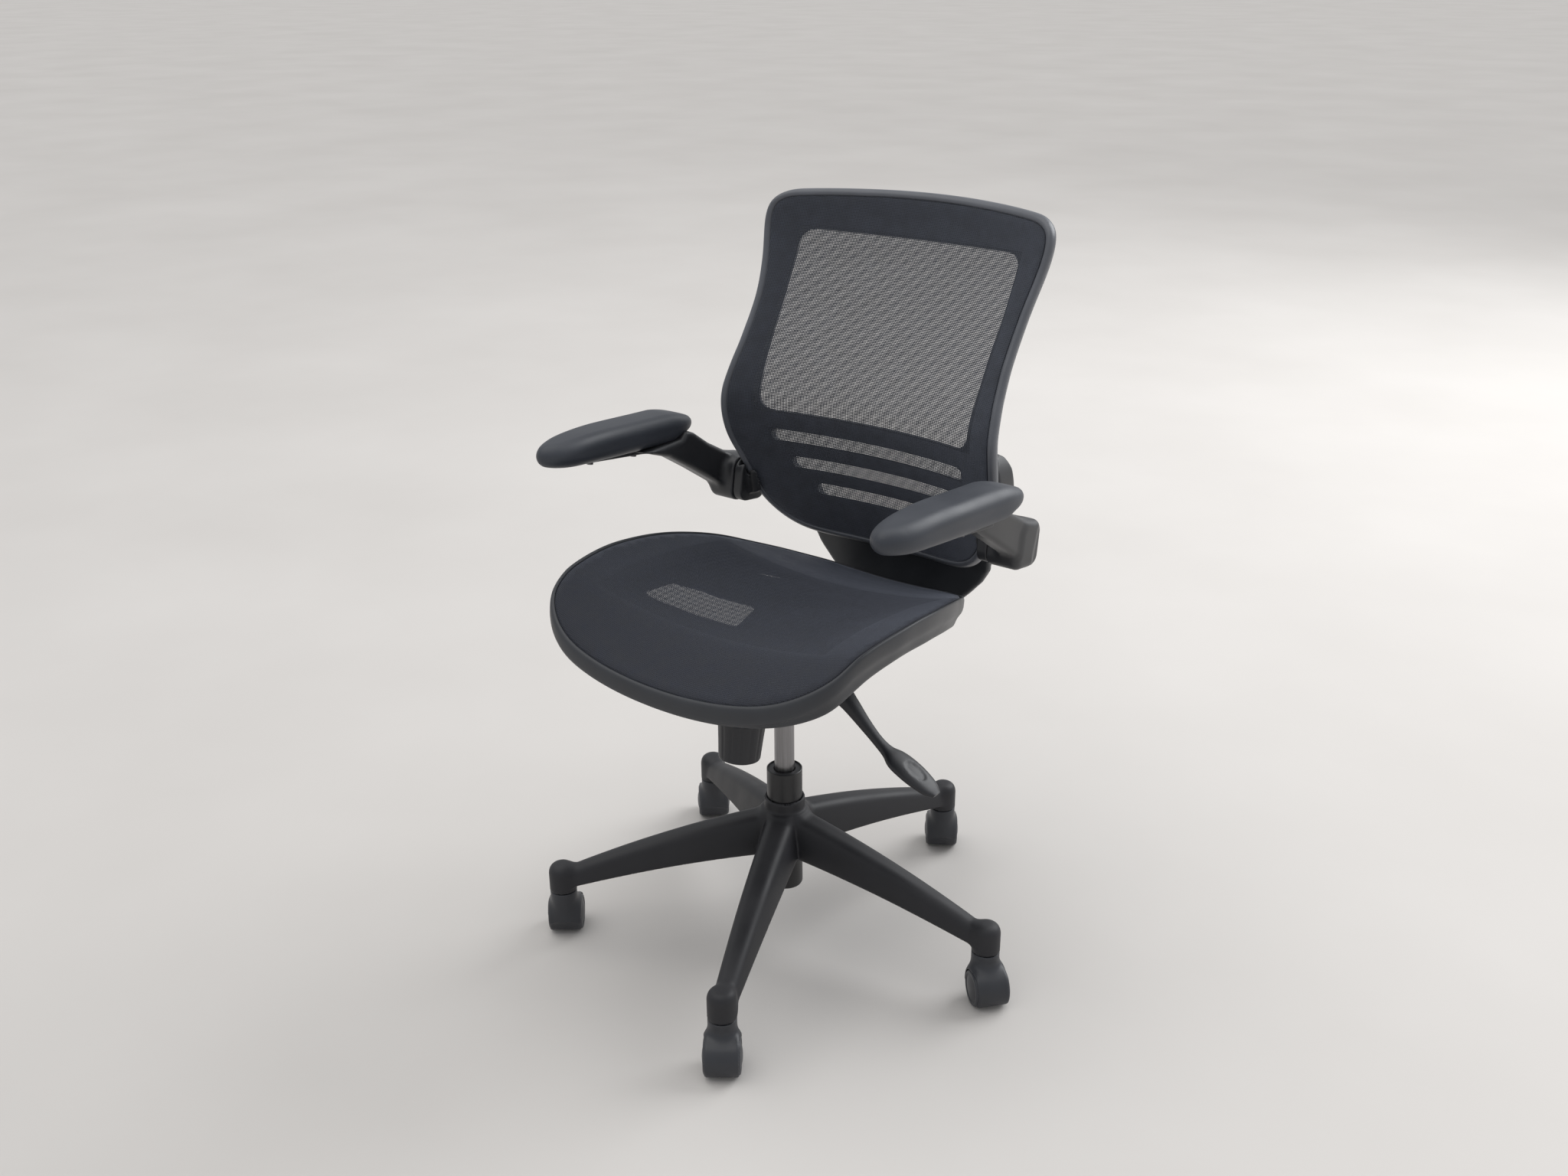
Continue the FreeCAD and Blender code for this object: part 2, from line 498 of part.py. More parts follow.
pan = patch(lambda x, y: (x, y, pan_top(x, y)), xs, ys).extrude(V(0, 0, -n("pan_thick")))
pan = pan.common(prism_z(loop_inset(OUTLINE, n("rim_wide") - 5), 380, 640))
frame = ring.fuse(pan)
for x, y in SCREW:
    frame = frame.fuse(Part.makeCylinder(9, 16, V(x, y, n("plate_low") + n("plate_thick") + 0.05)))
for s in (1, -1):
    quad = [V(s * x, y, 400) for x, y in ((189, -91), (191, -16), (109, 77), (81, -7), (189, -91))]
    window = Part.Face(Part.makePolygon(quad)).extrude(V(0, 0, 200))
    frame = frame.cut(window.makeFillet(9, [e for e in window.Edges if abs(e.Vertexes[0].Point.z - e.Vertexes[1].Point.z) > 1]))
frame = frame.cut(Part.makeBox(24, 30, 30, V(-12, n("knob_y") - 15, 440)))
for x, y in SCREW:
    frame = frame.cut(Part.makeCylinder(3.05, 14, V(x, y, 445)))
frame = frame.cut(Part.makeBox(300, 300, 20, V(-150, -150, n("plate_low") + n("plate_thick") + 0.04 - 20)))
shape_node("seat_frame", solid_of(frame.removeSplitter()), LEAN)
mesh = seat_slab(n("mesh_thick") + 0.15, n("mesh_thick")).common(prism_z(loop_inset(OUTLINE, 3), 380, 640))
shape_node("seat_mesh", solid_of(mesh), LEAN)


def screw(x, y, z0, length, axis=V(0, 0, 1), rad=3.0, head=5.6, tall=3.2):
    a = Part.makeCylinder(rad, length, V(x, y, z0), axis)
    h = Part.makeCylinder(head, tall, V(x, y, z0) - axis * tall, axis)
    return a.fuse(h).removeSplitter()


shape_node("seat_screws", Part.makeCompound([screw(x, y, n("plate_low") - 0.03, 14) for x, y in SCREW]), LEAN)

# --- back support: wide J-shaped moulding under and behind the seat --------
mid = [(64, 437.9), (150, 437.9), (205, 437.9), (240, 438.5), (262, 448), (275, 473), (276.5, 505), (272, 536), (264.8, 562), (253.5, 583), (245.5, 600)]
left, right = [], []
for i, (y, z) in enumerate(mid):
    a, c = mid[max(i - 1, 0)], mid[min(i + 1, len(mid) - 1)]
    ty, tz = c[0] - a[0], c[1] - a[1]
    l = math.hypot(ty, tz)
    left.append((y - tz / l * 6, z + ty / l * 6))
    right.append((y + tz / l * 6, z - ty / l * 6))


def yz_wire(side, x):
    bs = Part.BSplineCurve()
    bs.interpolate(Points=[V(x, y, z) for y, z in side])
    return bs.toShape()


e1, e2 = yz_wire(left, -170), yz_wire(right, -170)
cap1 = Part.makeLine(V(-170, *left[-1]), V(-170, *right[-1]))
cap2 = Part.makeLine(V(-170, *right[0]), V(-170, *left[0]))
jay = Part.Face(Part.Wire(Part.__sortEdges__([e1, cap1, e2, cap2]))).extrude(V(340, 0, 0))
gob = [(58, 425), (62, 446), (74, 460), (98, 480), (121, 503), (141, 525), (153, 546), (156, 566), (148, 586), (128, 600), (96, 608)]
gob_loop = [(x, z) for x, z in gob] + [(-x, z) for x, z in reversed(gob)]
poly = Part.makePolygon([V(x, 0, z) for x, z in gob_loop] + [V(gob_loop[0][0], 0, gob_loop[0][1])])
jay = jay.common(Part.Face(poly).extrude(V(0, 400, 0)))
for x, y in REAR:
    jay = jay.cut(Part.makeCylinder(3.05, 30, V(x, y, 425)))


def mid_y(z):
    for (y0, z0), (y1, z1) in zip(mid[8:], mid[9:]):
        if z0 <= z <= z1:
            return y0 + (y1 - y0) * (z - z0) / (z1 - z0)


BACKS = [(34, 568), (-34, 568), (34, 588), (-34, 588)]
for x, z in BACKS:
    jay = jay.cut(Part.makeCylinder(3.05, 110, V(x, 205, z), V(0, 1, 0))).cut(Part.makeCylinder(6.2, 30, V(x, mid_y(z) + 10.15, z), V(0, 1, 0)))
shape_node("back_support", solid_of(jay), LEAN)
shape_node("support_screws", Part.makeCompound([screw(x, y, 431.87, 15, rad=3.0) for x, y in REAR]), LEAN)

# --- back: moulded frame with one window and three slots -------------------
YC = smooth([530, 561, 605, 626, 663, 702, 745, 764, 785, 806, 827, 849, 870, 892, 913, 935, 956, 977, 998, 1018, 1070],
            [250, 235, 213, 205, 190, 174, 161, 160, 164, 170, 178, 186.5, 196, 206, 214.5, 223, 231, 237.5, 242.5, 246, 252])


def back_face(x, z):
    return YC(z) - n("back_crown") * x * x


zs, bx = lin(530, 1070, 46), lin(-245, 245, 15)


def back_slab(shift, deep):
    return patch(lambda x, z: (x, back_face(x, z) + shift, z), bx, zs).extrude(V(0, deep, 0))


def prism_y(loop):
    return Part.Face(loop_wire([(x, -20, z) for x, z in loop])).extrude(V(0, 420, 0))


BH = [(60, 548), (110, 550), (140, 556), (160, 566), (178, 582), (193, 604), (204, 630), (212, 657), (220, 680), (225, 702), (226, 745), (222, 785), (217, 827),
      (215, 870), (217, 913), (223.5, 956), (229, 988), (230, 1008), (225, 1027), (210, 1040), (180, 1047), (120, 1052), (60, 1055)]
BLOOP = [(0, 547)] + BH + [(0, 1056)] + [(-x, z) for x, z in reversed(BH)]
back = back_slab(0, n("back_thick")).common(prism_y(BLOOP))


def round_rect(pts, r):
    """Rounded polygon cutter running along Y; pts are (x, z) corners."""
    wire = Part.makePolygon([V(x, -20, z) for x, z in pts] + [V(pts[0][0], -20, pts[0][1])])
    solid = Part.Face(wire).extrude(V(0, 420, 0))
    es = [e for e in solid.Edges if abs(e.Vertexes[0].Point.y - e.Vertexes[1].Point.y) > 1]
    return solid.makeFillet(r, es)


back = back.cut(round_rect([(172, 739), (178, 992), (-178, 992), (-172, 739)], 20))
for half, z in ((160, 702), (136, 663), (104, 626)):
    back = back.cut(round_rect([(half, z - 8.5), (half, z + 8.5), (-half, z + 8.5), (-half, z - 8.5)], 8))
for x, z in BACKS:
    back = back.cut(Part.makeCylinder(3.05, 40, V(x, back_face(x, z) + 5, z), V(0, 1, 0)))
back_node = shape_node("back_frame", solid_of(back), LEAN)
bm = back_slab(-1.8, 1.6).common(prism_y(loop_inset(BLOOP, 5)))
shape_node("back_mesh", solid_of(bm), LEAN)

shape_node("back_screws", Part.makeCompound(
    [screw(x, mid_y(z) + 10.2, z, mid_y(z) + 10.2 - (back_face(x, z) + 5.3), V(0, -1, 0)) for x, z in BACKS]), LEAN)

# --- flip-up arms ----------------------------------------------------------
env = back_slab(-6, n("back_thick") + 6.6).common(prism_y(loop_inset(BLOOP, -0.8)))
ay, az = n("arm_y"), n("arm_z")


def yz_prism(pts, x0, x1):
    w = Part.makePolygon([V(x0, y, z) for y, z in pts] + [V(x0, *pts[0])])
    return Part.Face(w).extrude(V(x1 - x0, 0, 0))


def both_sides(shape):
    return {"left": shape, "right": shape.mirror(V(0, 0, 0), V(1, 0, 0))}


br = Part.makeCylinder(28, 15.4, V(200, ay, az), V(1, 0, 0))
br = br.fuse(yz_prism([(154, 604), (194, 604), (203, 640), (199, 690), (191, 722), (179, 735), (164, 735), (146, 712), (146, 640)], 186, 215.4))
br = br.cut(env).cut(Part.makeCylinder(n("arm_pin_rad") + 0.02, 60, V(180, ay, az), V(1, 0, 0)))
br = max(br.Solids, key=lambda s: s.Volume)
EARSCREW = [(203, 672, 196), (203, 712, 190)]
for x, z, y in EARSCREW:
    br = br.cut(Part.makeCylinder(2.55, 90, V(x, 110, z), V(0, 1, 0))).cut(Part.makeCylinder(5.2, 40, V(x, y - 6, z), V(0, 1, 0)))
hub = Part.makeCylinder(n("arm_hub_rad"), 46, V(216, ay, az), V(1, 0, 0))
hub = hub.makeFillet(9, [e for e in hub.Edges if e.Curve.TypeId == "Part::GeomCircle" and e.CenterOfMass.x > 250])
stem = yz_prism([(-40, 680.5), (-22, 676), (15, 668), (68, 644), (134, 612), (172, 600), (180, 652), (150, 660), (100, 680), (66, 699), (56, 701), (46, 701),
                 (38, 680.5)], 236, 262)
rail = Part.makeBox(42, 214, 8, V(244, -176, n("pad_low") - 8.5))
arm = hub.fuse(stem).fuse(rail)
PADSCREW = [(264, -120), (267, -30)]
arm = arm.cut(Part.makeCylinder(n("arm_pin_rad") + n("fit"), 80, V(205, ay, az), V(1, 0, 0)))
arm = arm.cut(Part.makeCylinder(10.4, 20, V(258, ay, az), V(1, 0, 0)))
for x, y in PADSCREW:
    arm = arm.cut(Part.makeCylinder(2.55, 60, V(x, y, 640)))
pf, pr = n("pad_front"), n("pad_rear")


def pad_mid(y):
    return n("pad_front_x") + (n("pad_rear_x") - n("pad_front_x")) * (y - pf) / (pr - pf)


right_side = [(3.5, pf), (15.3, pf + 9), (25.3, pf + 29.6), (30.2, pf + 71), (32.6, pf + 139), (32.5, pf + 207), (31.8, pr - 41.4), (25.4, pr - 16.3), (14.3, pr - 3)]
pad_pts = [(pad_mid(y) + w, y) for w, y in right_side] + [(pad_mid(pr), pr)]
pad_pts += [(pad_mid(y) - w, y) for w, y in right_side[:0:-1]]
padsolid = Part.Face(loop_wire([(x, y, n("pad_low")) for x, y in pad_pts])).extrude(V(0, 0, n("pad_top") - n("pad_low")))
crown = patch(lambda x, y: (x, y, n("pad_top") - 0.06 * max(0.0, 20.0 - y) - ((x - pad_mid(y)) / 40.0) ** 2 * 9 - max(0.0, (-y - 90) / 125.0) ** 2 * 12 - max(0.0, (y - 20) / 70.0) ** 2 * 14),
              lin(210, 325, 13), lin(-240, 130, 19)).extrude(V(0, 0, -90))
padsolid = padsolid.common(crown)
# the pad's rear end sits over the top of the stem
padsolid = padsolid.cut(yz_prism([(37, 670), (37, 681), (45.3, 701.5), (120, 701.5), (120, 670)], 200, 340))
for x, y in PADSCREW:
    padsolid = padsolid.cut(Part.makeCylinder(2.55, 18.5, V(x, y, 676)))
pin = Part.makeCylinder(n("arm_pin_rad"), 55.5, V(204.5, ay, az), V(1, 0, 0)).fuse(Part.makeCylinder(10, 3.2, V(258.4, ay, az), V(1, 0, 0))).removeSplitter()
pscr = Part.makeCompound([screw(x, y, n("pad_low") - 8.55, 20, rad=2.5, head=4.6, tall=2.6) for x, y in PADSCREW])
escr = [screw(x, y - 5.97, z, y - 6 - (back_face(x, z) + 8), V(0, -1, 0), rad=2.5, head=4.8, tall=3) for x, z, y in EARSCREW]
fr = back_node.Shape.copy()
fr.Placement = Placement()
for s in (1, -1):
    for x, z, y in EARSCREW:
        fr = fr.cut(Part.makeCylinder(2.55, 40, V(s * x, back_face(x, z) + 7.7, z), V(0, 1, 0)))
back_node.Shape = solid_of(fr)
back_node.Placement = LEAN
shape_node("bracket_screws", Part.makeCompound(escr + [e.mirror(V(0, 0, 0), V(1, 0, 0)) for e in escr]), LEAN)
for label, shp in (("arm_bracket", br), ("arm_pin", pin), ("arm_frame", solid_of(arm.removeSplitter())), ("arm_pad", solid_of(padsolid)), ("pad_screws", pscr)):
    for side, s in both_sides(shp).items():
        shape_node("%s_%s" % (label, side), s, LEAN)

# ---------------------------------------------------------------------------
# Casters: stem, hood, axle and two free wheels on each leg.
# ---------------------------------------------------------------------------
TRAIL = [128, 306, 320, 124, 132]
stems = []
for k in range(5):
    a = math.radians(n("leg_turn") + 72 * k)
    cx, cy = n("leg_radius") * math.cos(a), n("leg_radius") * math.sin(a)
    st = Part.makeCylinder(n("stem_rad"), 52, V(cx, cy, 52.5)).fuse(Part.makeCylinder(11, 3.6, V(cx, cy, n("neck_top") + 0.3))).removeSplitter()
    stems.append(st)
    here = Placement(V(cx, cy, 0), Rotation(V(0, 0, 1), TRAIL[k]))
    tag = "caster_%d_" % (k + 1)
    wz, tr = n("wheel_rad"), n("caster_trail")

    def cylat(r, length, at, axis="y"):
        return cyl(r, length, here.multiply(along(axis, at)))

    barrel = cylat(d("hood_rad"), 2 * d("hood_half"), (tr, -n("hood_half"), wz))
    neck = cylat(d("neck_rad"), d("neck_top") - 30, (0, 0, 30), "z")
    fuse = doc.addObject("Part::MultiFuse", tag + "block")
    fuse.Shapes = [barrel, neck]
    c1 = cylat(d("wheel_rad") + 0.7, 30, (tr, n("wheel_in") - 0.5, wz))
    c2 = cylat(d("wheel_rad") + 0.7, 30, (tr, -30 - n("wheel_in") + 0.5, wz))
    c3 = cylat(d("stem_rad") + 0.06, 40, (0, 0, 50.5), "z")
    c4 = cylat(d("caster_axle_rad") + 0.02, 20, (tr, -10, wz))
    low = doc.addObject("Part::Box", tag + "mouth")
    low.Length, low.Width, low.Height = 120, 120, 30
    low.Placement = here.multiply(Placement(V(-60, -60, 9 - 30), Rotation()))
    tools = doc.addObject("Part::MultiFuse", tag + "space")
    tools.Shapes = [c1, c2, c3, c4, low]
    hood = doc.addObject("Part::Cut", tag + "hood")
    hood.Base, hood.Tool = fuse, tools
    keep(hood, tag + "hood")
    keep(cylat(d("caster_axle_rad"), 46, (tr, -23, wz)), tag + "axle")
    for side, s in (("left", 1), ("right", -1)):
        prof = [(d("caster_axle_rad") + 0.06, d("wheel_in")), (d("wheel_rad") - 1.2, d("wheel_in")), (d("wheel_rad"), d("wheel_in") + 1.5),
                (d("wheel_rad"), d("wheel_out") - 3.5), (d("wheel_rad") - 1.3, d("wheel_out") - 1), (d("wheel_rad") - 4, d("wheel_out")),
                (d("wheel_rad") - 10, d("wheel_out") + 1.6), (0, d("wheel_out") + 2.2), (0, d("wheel_out") - 0.6),
                (d("caster_axle_rad") + 0.06, d("wheel_out") - 0.6)]
        rot = Rotation(V(1, 0, 0), -90 * s)
        turned(tag + "wheel_" + side, prof, here.multiply(Placement(V(tr, 0, wz), rot)))
shape_node("caster_stems", Part.makeCompound(stems))

# ---------------------------------------------------------------------------
doc.recompute()
bad = [o.Name for o in doc.Objects if "Invalid" in o.State or "Error" in o.State]
if bad:
    raise RuntimeError("failed objects: %s" % bad)
seen = set()
for obj, name in OUT:
    s = obj.Shape
    if s.isNull() or not s.isValid() or not s.Solids:
        raise RuntimeError("bad shape: %s" % name)
    if name in seen:
        raise RuntimeError("same name twice: %s" % name)
    seen.add(name)
os.makedirs("parts", exist_ok=True)
for obj, name in OUT:
    obj.Shape.exportStep("parts/%s.step" % name)
    bb = obj.Shape.BoundBox
    print("%-26s solids %d vol %9.0f  x %7.1f %7.1f  y %7.1f %7.1f  z %7.1f %7.1f" % (
        name, len(obj.Shape.Solids), obj.Shape.Volume, bb.XMin, bb.XMax, bb.YMin, bb.YMax, bb.ZMin, bb.ZMax))
print(len(OUT), "nodes")
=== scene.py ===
import json
import math

import bmesh
import bpy
import numpy as np
from mathutils import Matrix, Vector
from mathutils.geometry import delaunay_2d_cdt


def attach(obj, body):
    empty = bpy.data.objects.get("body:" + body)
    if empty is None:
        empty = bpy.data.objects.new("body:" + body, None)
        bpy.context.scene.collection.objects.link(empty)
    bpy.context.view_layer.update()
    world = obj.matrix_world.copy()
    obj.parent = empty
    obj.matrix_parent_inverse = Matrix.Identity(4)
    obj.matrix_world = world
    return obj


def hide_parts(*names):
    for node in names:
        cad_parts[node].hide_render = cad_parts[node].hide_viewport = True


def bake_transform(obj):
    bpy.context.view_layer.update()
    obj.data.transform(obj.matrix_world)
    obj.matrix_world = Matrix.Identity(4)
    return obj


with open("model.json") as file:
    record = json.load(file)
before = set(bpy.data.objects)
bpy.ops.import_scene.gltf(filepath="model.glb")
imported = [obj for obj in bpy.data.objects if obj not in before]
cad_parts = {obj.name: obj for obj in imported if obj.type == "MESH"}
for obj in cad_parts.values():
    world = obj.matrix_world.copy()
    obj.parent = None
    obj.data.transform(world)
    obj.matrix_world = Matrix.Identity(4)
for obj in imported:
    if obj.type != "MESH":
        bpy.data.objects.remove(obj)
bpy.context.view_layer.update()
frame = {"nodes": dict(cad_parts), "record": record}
NODES = frame["nodes"]
scene = bpy.context.scene
PI = math.pi

# ---------------------------------------------------------------------------
# Camera: the photograph's own viewpoint.
# ---------------------------------------------------------------------------
az, el, roll = math.radians(37.328), math.radians(22.791), math.radians(-0.448)
back_v = Vector((math.sin(az) * math.cos(el), -math.cos(az) * math.cos(el), math.sin(el)))
right_v = Vector((math.cos(az), math.sin(az), 0.0))
up_v = back_v.cross(right_v)
r2 = right_v * math.cos(roll) + up_v * math.sin(roll)
u2 = up_v * math.cos(roll) - right_v * math.sin(roll)
cam_data = bpy.data.cameras.new("cam")
cam_data.sensor_width = 36.0
cam_data.lens = 35.669
cam = bpy.data.objects.new("cam", cam_data)
scene.collection.objects.link(cam)
m3 = Matrix((r2, u2, back_v)).transposed()
cam.matrix_world = Matrix.Translation(Vector((1.162242, -1.522017, 1.337290))) @ m3.to_4x4()
scene.camera = cam

# ---------------------------------------------------------------------------
# Small geometry kit.  The tilting part is drawn upright in millimetres and
# leaned back 8 degrees about the tilt axle, as the chair stands.
# ---------------------------------------------------------------------------
CL, SL = math.cos(math.radians(8.0)), math.sin(math.radians(8.0))


def lean(p):
    p = np.asarray(p, float)
    y, z = p[:, 1] + 45.0, p[:, 2] - 415.0
    return np.stack([p[:, 0], -45.0 + y * CL + z * SL, 415.0 - y * SL + z * CL], 1) * 0.001


def plain(p):
    return np.asarray(p, float) * 0.001


def smooth(xs, ys):
    xs, ys = np.asarray(xs, float), np.asarray(ys, float)
    h = np.diff(xs)
    s = np.diff(ys) / h
    t = np.concatenate([[s[0]], 0.5 * (s[:-1] + s[1:]), [s[-1]]])

    def f(x):
        x = np.asarray(x, float)
        i = np.clip(np.searchsorted(xs, x, side="left") - 1, 0, len(xs) - 2)
        u = (x - xs[i]) / h[i]
        return ((2 * u**3 - 3 * u**2 + 1) * ys[i] + (u**3 - 2 * u**2 + u) * h[i] * t[i]
                + (-2 * u**3 + 3 * u**2) * ys[i + 1] + (u**3 - u**2) * h[i] * t[i + 1])
    return f


def step01(x):
    t = np.clip(x, 0.0, 1.0)
    return t * t * (3 - 2 * t)


def closed_spline(pts, n):
    """Closed cubic through the points, sampled at n even steps."""
    p = np.asarray(pts, float)
    m = len(p)
    h = np.linalg.norm(np.roll(p, -1, 0) - p, axis=1)
    a = np.zeros((m, m))
    rhs = np.zeros((m, 2))
    for i in range(m):
        j, k = (i - 1) % m, (i + 1) % m
        a[i, j] += h[j]
        a[i, i] += 2 * (h[j] + h[i])
        a[i, k] += h[i]
        rhs[i] = 6 * ((p[k] - p[i]) / h[i] - (p[i] - p[j]) / h[j])
    mm = np.linalg.solve(a, rhs)
    out = []
    for i in range(m):
        k = (i + 1) % m
        u = np.linspace(0, 1, 40, endpoint=False)[:, None]
        b, c = 1 - u, u
        out.append(b * p[i] + c * p[k] + ((b**3 - b) * mm[i] + (c**3 - c) * mm[k]) * h[i] ** 2 / 6)
    return even(np.concatenate(out), n)


def even(loop, n):
    loop = np.asarray(loop, float)
    q = np.vstack([loop, loop[:1]])
    s = np.concatenate([[0], np.cumsum(np.linalg.norm(np.diff(q, axis=0), axis=1))])
    at = np.linspace(0, s[-1], n, endpoint=False)
    return np.stack([np.interp(at, s, q[:, k]) for k in range(2)], 1)


def area2(loop):
    x, y = loop[:, 0], loop[:, 1]
    return 0.5 * float(np.sum(x * np.roll(y, -1) - np.roll(x, -1) * y))


def inset(loop, d):
    """Move a closed loop inwards by d (outwards if negative)."""
    t = np.roll(loop, -1, 0) - np.roll(loop, 1, 0)
    t /= np.linalg.norm(t, axis=1)[:, None]
    sgn = 1.0 if area2(loop) > 0 else -1.0
    return loop + sgn * d * np.stack([-t[:, 1], t[:, 0]], 1)


def inside(points, loop):
    x, y = points[:, 0][:, None], points[:, 1][:, None]
    x0, y0 = loop[:, 0][None], loop[:, 1][None]
    x1, y1 = np.roll(loop[:, 0], -1)[None], np.roll(loop[:, 1], -1)[None]
    cross = ((y0 > y) != (y1 > y)) & (x < (x1 - x0) * (y - y0) / (y1 - y0 + 1e-12) + x0)
    return cross.sum(1) % 2 == 1


def away(points, loop):
    best = np.full(len(points), 1e9)
    for i in range(0, len(points), 2000):
        d = np.linalg.norm(points[i:i + 2000, None] - loop[None], axis=2)
        best[i:i + 2000] = d.min(1)
    return best


def inner_points(outer, holes, step, clear):
    lo, hi = outer.min(0), outer.max(0)
    xs = np.arange(lo[0], hi[0], step)
    ys = np.arange(lo[1], hi[1], step * 0.866)
    g = np.array([(x + (0.5 * step if j % 2 else 0), y) for j, y in enumerate(ys) for x in xs])
    ok = inside(g, outer) & (away(g, outer) > clear)
    for h in holes:
        ok &= ~inside(g, h) & (away(g, h) > clear)
    return g[ok]


def fill(loops, extra):
    """Triangles between the outer loop and the hole loops, as indices into the stacked points."""
    pts = np.vstack(list(loops) + ([extra] if len(extra) else []))
    edges, at = [], 0
    for l in loops:
        k = len(l)
        edges += [(at + i, at + (i + 1) % k) for i in range(k)]
        at += k
    v, _, faces, ov, _, _ = delaunay_2d_cdt([Vector(p) for p in pts], edges, [], 0, 1e-6)
    back = np.array([o[0] if o else -1 for o in ov])
    tri = back[np.array([list(f)[:3] for f in faces])]
    mid = pts[tri].mean(1)
    ok = inside(mid, loops[0])
    for h in loops[1:]:
        ok &= ~inside(mid, h)
    return pts, tri[ok].tolist()


def strip(a, b, n):
    """Quads between two closed rows of n points that start at a and b."""
    return [(a + i, a + (i + 1) % n, b + (i + 1) % n, b + i) for i in range(n)]


def rounded(corners, r, seg=8):
    """Closed polygon with round corners."""
    c = np.asarray(corners, float)
    out = []
    for i in range(len(c)):
        p, a, b = c[i], c[i - 1] - c[i], c[(i + 1) % len(c)] - c[i]
        a, b = a / np.linalg.norm(a), b / np.linalg.norm(b)
        half = 0.5 * math.acos(float(np.clip(a @ b, -1, 1)))
        d = r / math.tan(half)
        o = p + (a + b) / np.linalg.norm(a + b) * (r / math.sin(half))
        s, e = p + a * d - o, p + b * d - o
        a0, a1 = math.atan2(s[1], s[0]), math.atan2(e[1], e[0])
        da = (a1 - a0 + PI) % (2 * PI) - PI
        out += [o + r * np.array((math.cos(a0 + da * k / seg), math.sin(a0 + da * k / seg))) for k in range(seg + 1)]
    return np.array(out)


def piece(name, verts, faces, mat, body, nodes=(), sharp=None, weld=None, uv=None, fix=True):
    me = bpy.data.meshes.new(name)
    me.from_pydata([tuple(v) for v in verts], [], [tuple(int(i) for i in f) for f in faces])
    if weld is not None or fix:
        bm = bmesh.new()
        bm.from_mesh(me)
        if weld is not None:
            bmesh.ops.remove_doubles(bm, verts=bm.verts, dist=weld)
            bmesh.ops.dissolve_degenerate(bm, dist=weld * 0.2, edges=bm.edges)
        if fix:
            bmesh.ops.recalc_face_normals(bm, faces=bm.faces)
        bm.to_mesh(me)
        bm.free()
    me.polygons.foreach_set("use_smooth", [True] * len(me.polygons))
    if sharp is not None:
        me.set_sharp_from_angle(angle=math.radians(sharp))
    if uv is not None:
        layer = me.uv_layers.new(name="weave")
        idx = np.zeros(len(me.loops), np.int32)
        me.loops.foreach_get("vertex_index", idx)
        layer.data.foreach_set("uv", np.asarray(uv, np.float32)[idx].ravel())
    me.update()
    o = bpy.data.objects.new(name, me)
    scene.collection.objects.link(o)
    me.materials.append(mat)
    return settle(o, body, nodes)


def settle(o, body, nodes=()):
    if body:
        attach(o, body)
    if nodes:
        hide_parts(*nodes)
    return o


def join_shells(parts):
    """Stack (verts, faces) shells into one."""
    vs, fs, at = [], [], 0
    for v, f in parts:
        vs.append(np.asarray(v, float))
        fs += [tuple(i + at for i in q) for q in f]
        at += len(v)
    return np.vstack(vs), fs


def lathe(profile, seg=64, ripple=None):
    """Turned shell about Z from (radius, height); a zero radius closes it."""
    vs, fs = [], []
    for r, z in profile:
        for k in range(seg):
            a = 2 * PI * k / seg
            rr = r + (ripple(a, z, r) if ripple else 0.0)
            vs.append((rr * math.cos(a), rr * math.sin(a), z))
    m = len(profile)
    for i in range(m - 1):
        fs += strip(i * seg, (i + 1) * seg, seg)
    return np.array(vs), fs


def soften(node, name, mat, body, voxel=0.002, rounds=8, factor=0.5, replace=True, keep=None):
    """The construction shape with its edges rounded over, as a moulding has them."""
    me = NODES[node].data.copy()
    bm = bmesh.new()
    bm.from_mesh(me)
    bmesh.ops.remove_doubles(bm, verts=bm.verts, dist=1e-6)
    bm.to_mesh(me)
    bm.free()
    tmp = bpy.data.objects.new(name + "_src", me)
    scene.collection.objects.link(tmp)
    r = tmp.modifiers.new("r", "REMESH")
    r.mode, r.voxel_size, r.use_smooth_shade = "VOXEL", voxel, True
    s = tmp.modifiers.new("s", "SMOOTH")
    s.factor, s.iterations = factor, rounds
    dg = bpy.context.evaluated_depsgraph_get()
    new = bpy.data.meshes.new_from_object(tmp.evaluated_get(dg))
    bpy.data.objects.remove(tmp)
    bpy.data.meshes.remove(me)
    new.name = name
    new.materials.clear()
    new.materials.append(mat)
    new.polygons.foreach_set("use_smooth", [True] * len(new.polygons))
    new.update()
    o = bpy.data.objects.new(name, new)
    scene.collection.objects.link(o)
    return settle(o, body, (node,) if replace else ())


def smin(a, b, k):
    """Union with a fillet of about k."""
    h = np.clip(0.5 + 0.5 * (b - a) / k, 0.0, 1.0)
    return b * (1 - h) + a * h - k * h * (1 - h)


def smax(a, b, k):
    return -smin(-a, -b, k)


def rounded_prism(d2, along, half, r):
    """Outline field d2 drawn out to |along| = half, every edge rounded by r."""
    a, b = d2 + r, np.abs(along) - half + r
    return np.minimum(np.maximum(a, b), 0.0) + np.sqrt(np.maximum(a, 0.0) ** 2 + np.maximum(b, 0.0) ** 2) - r


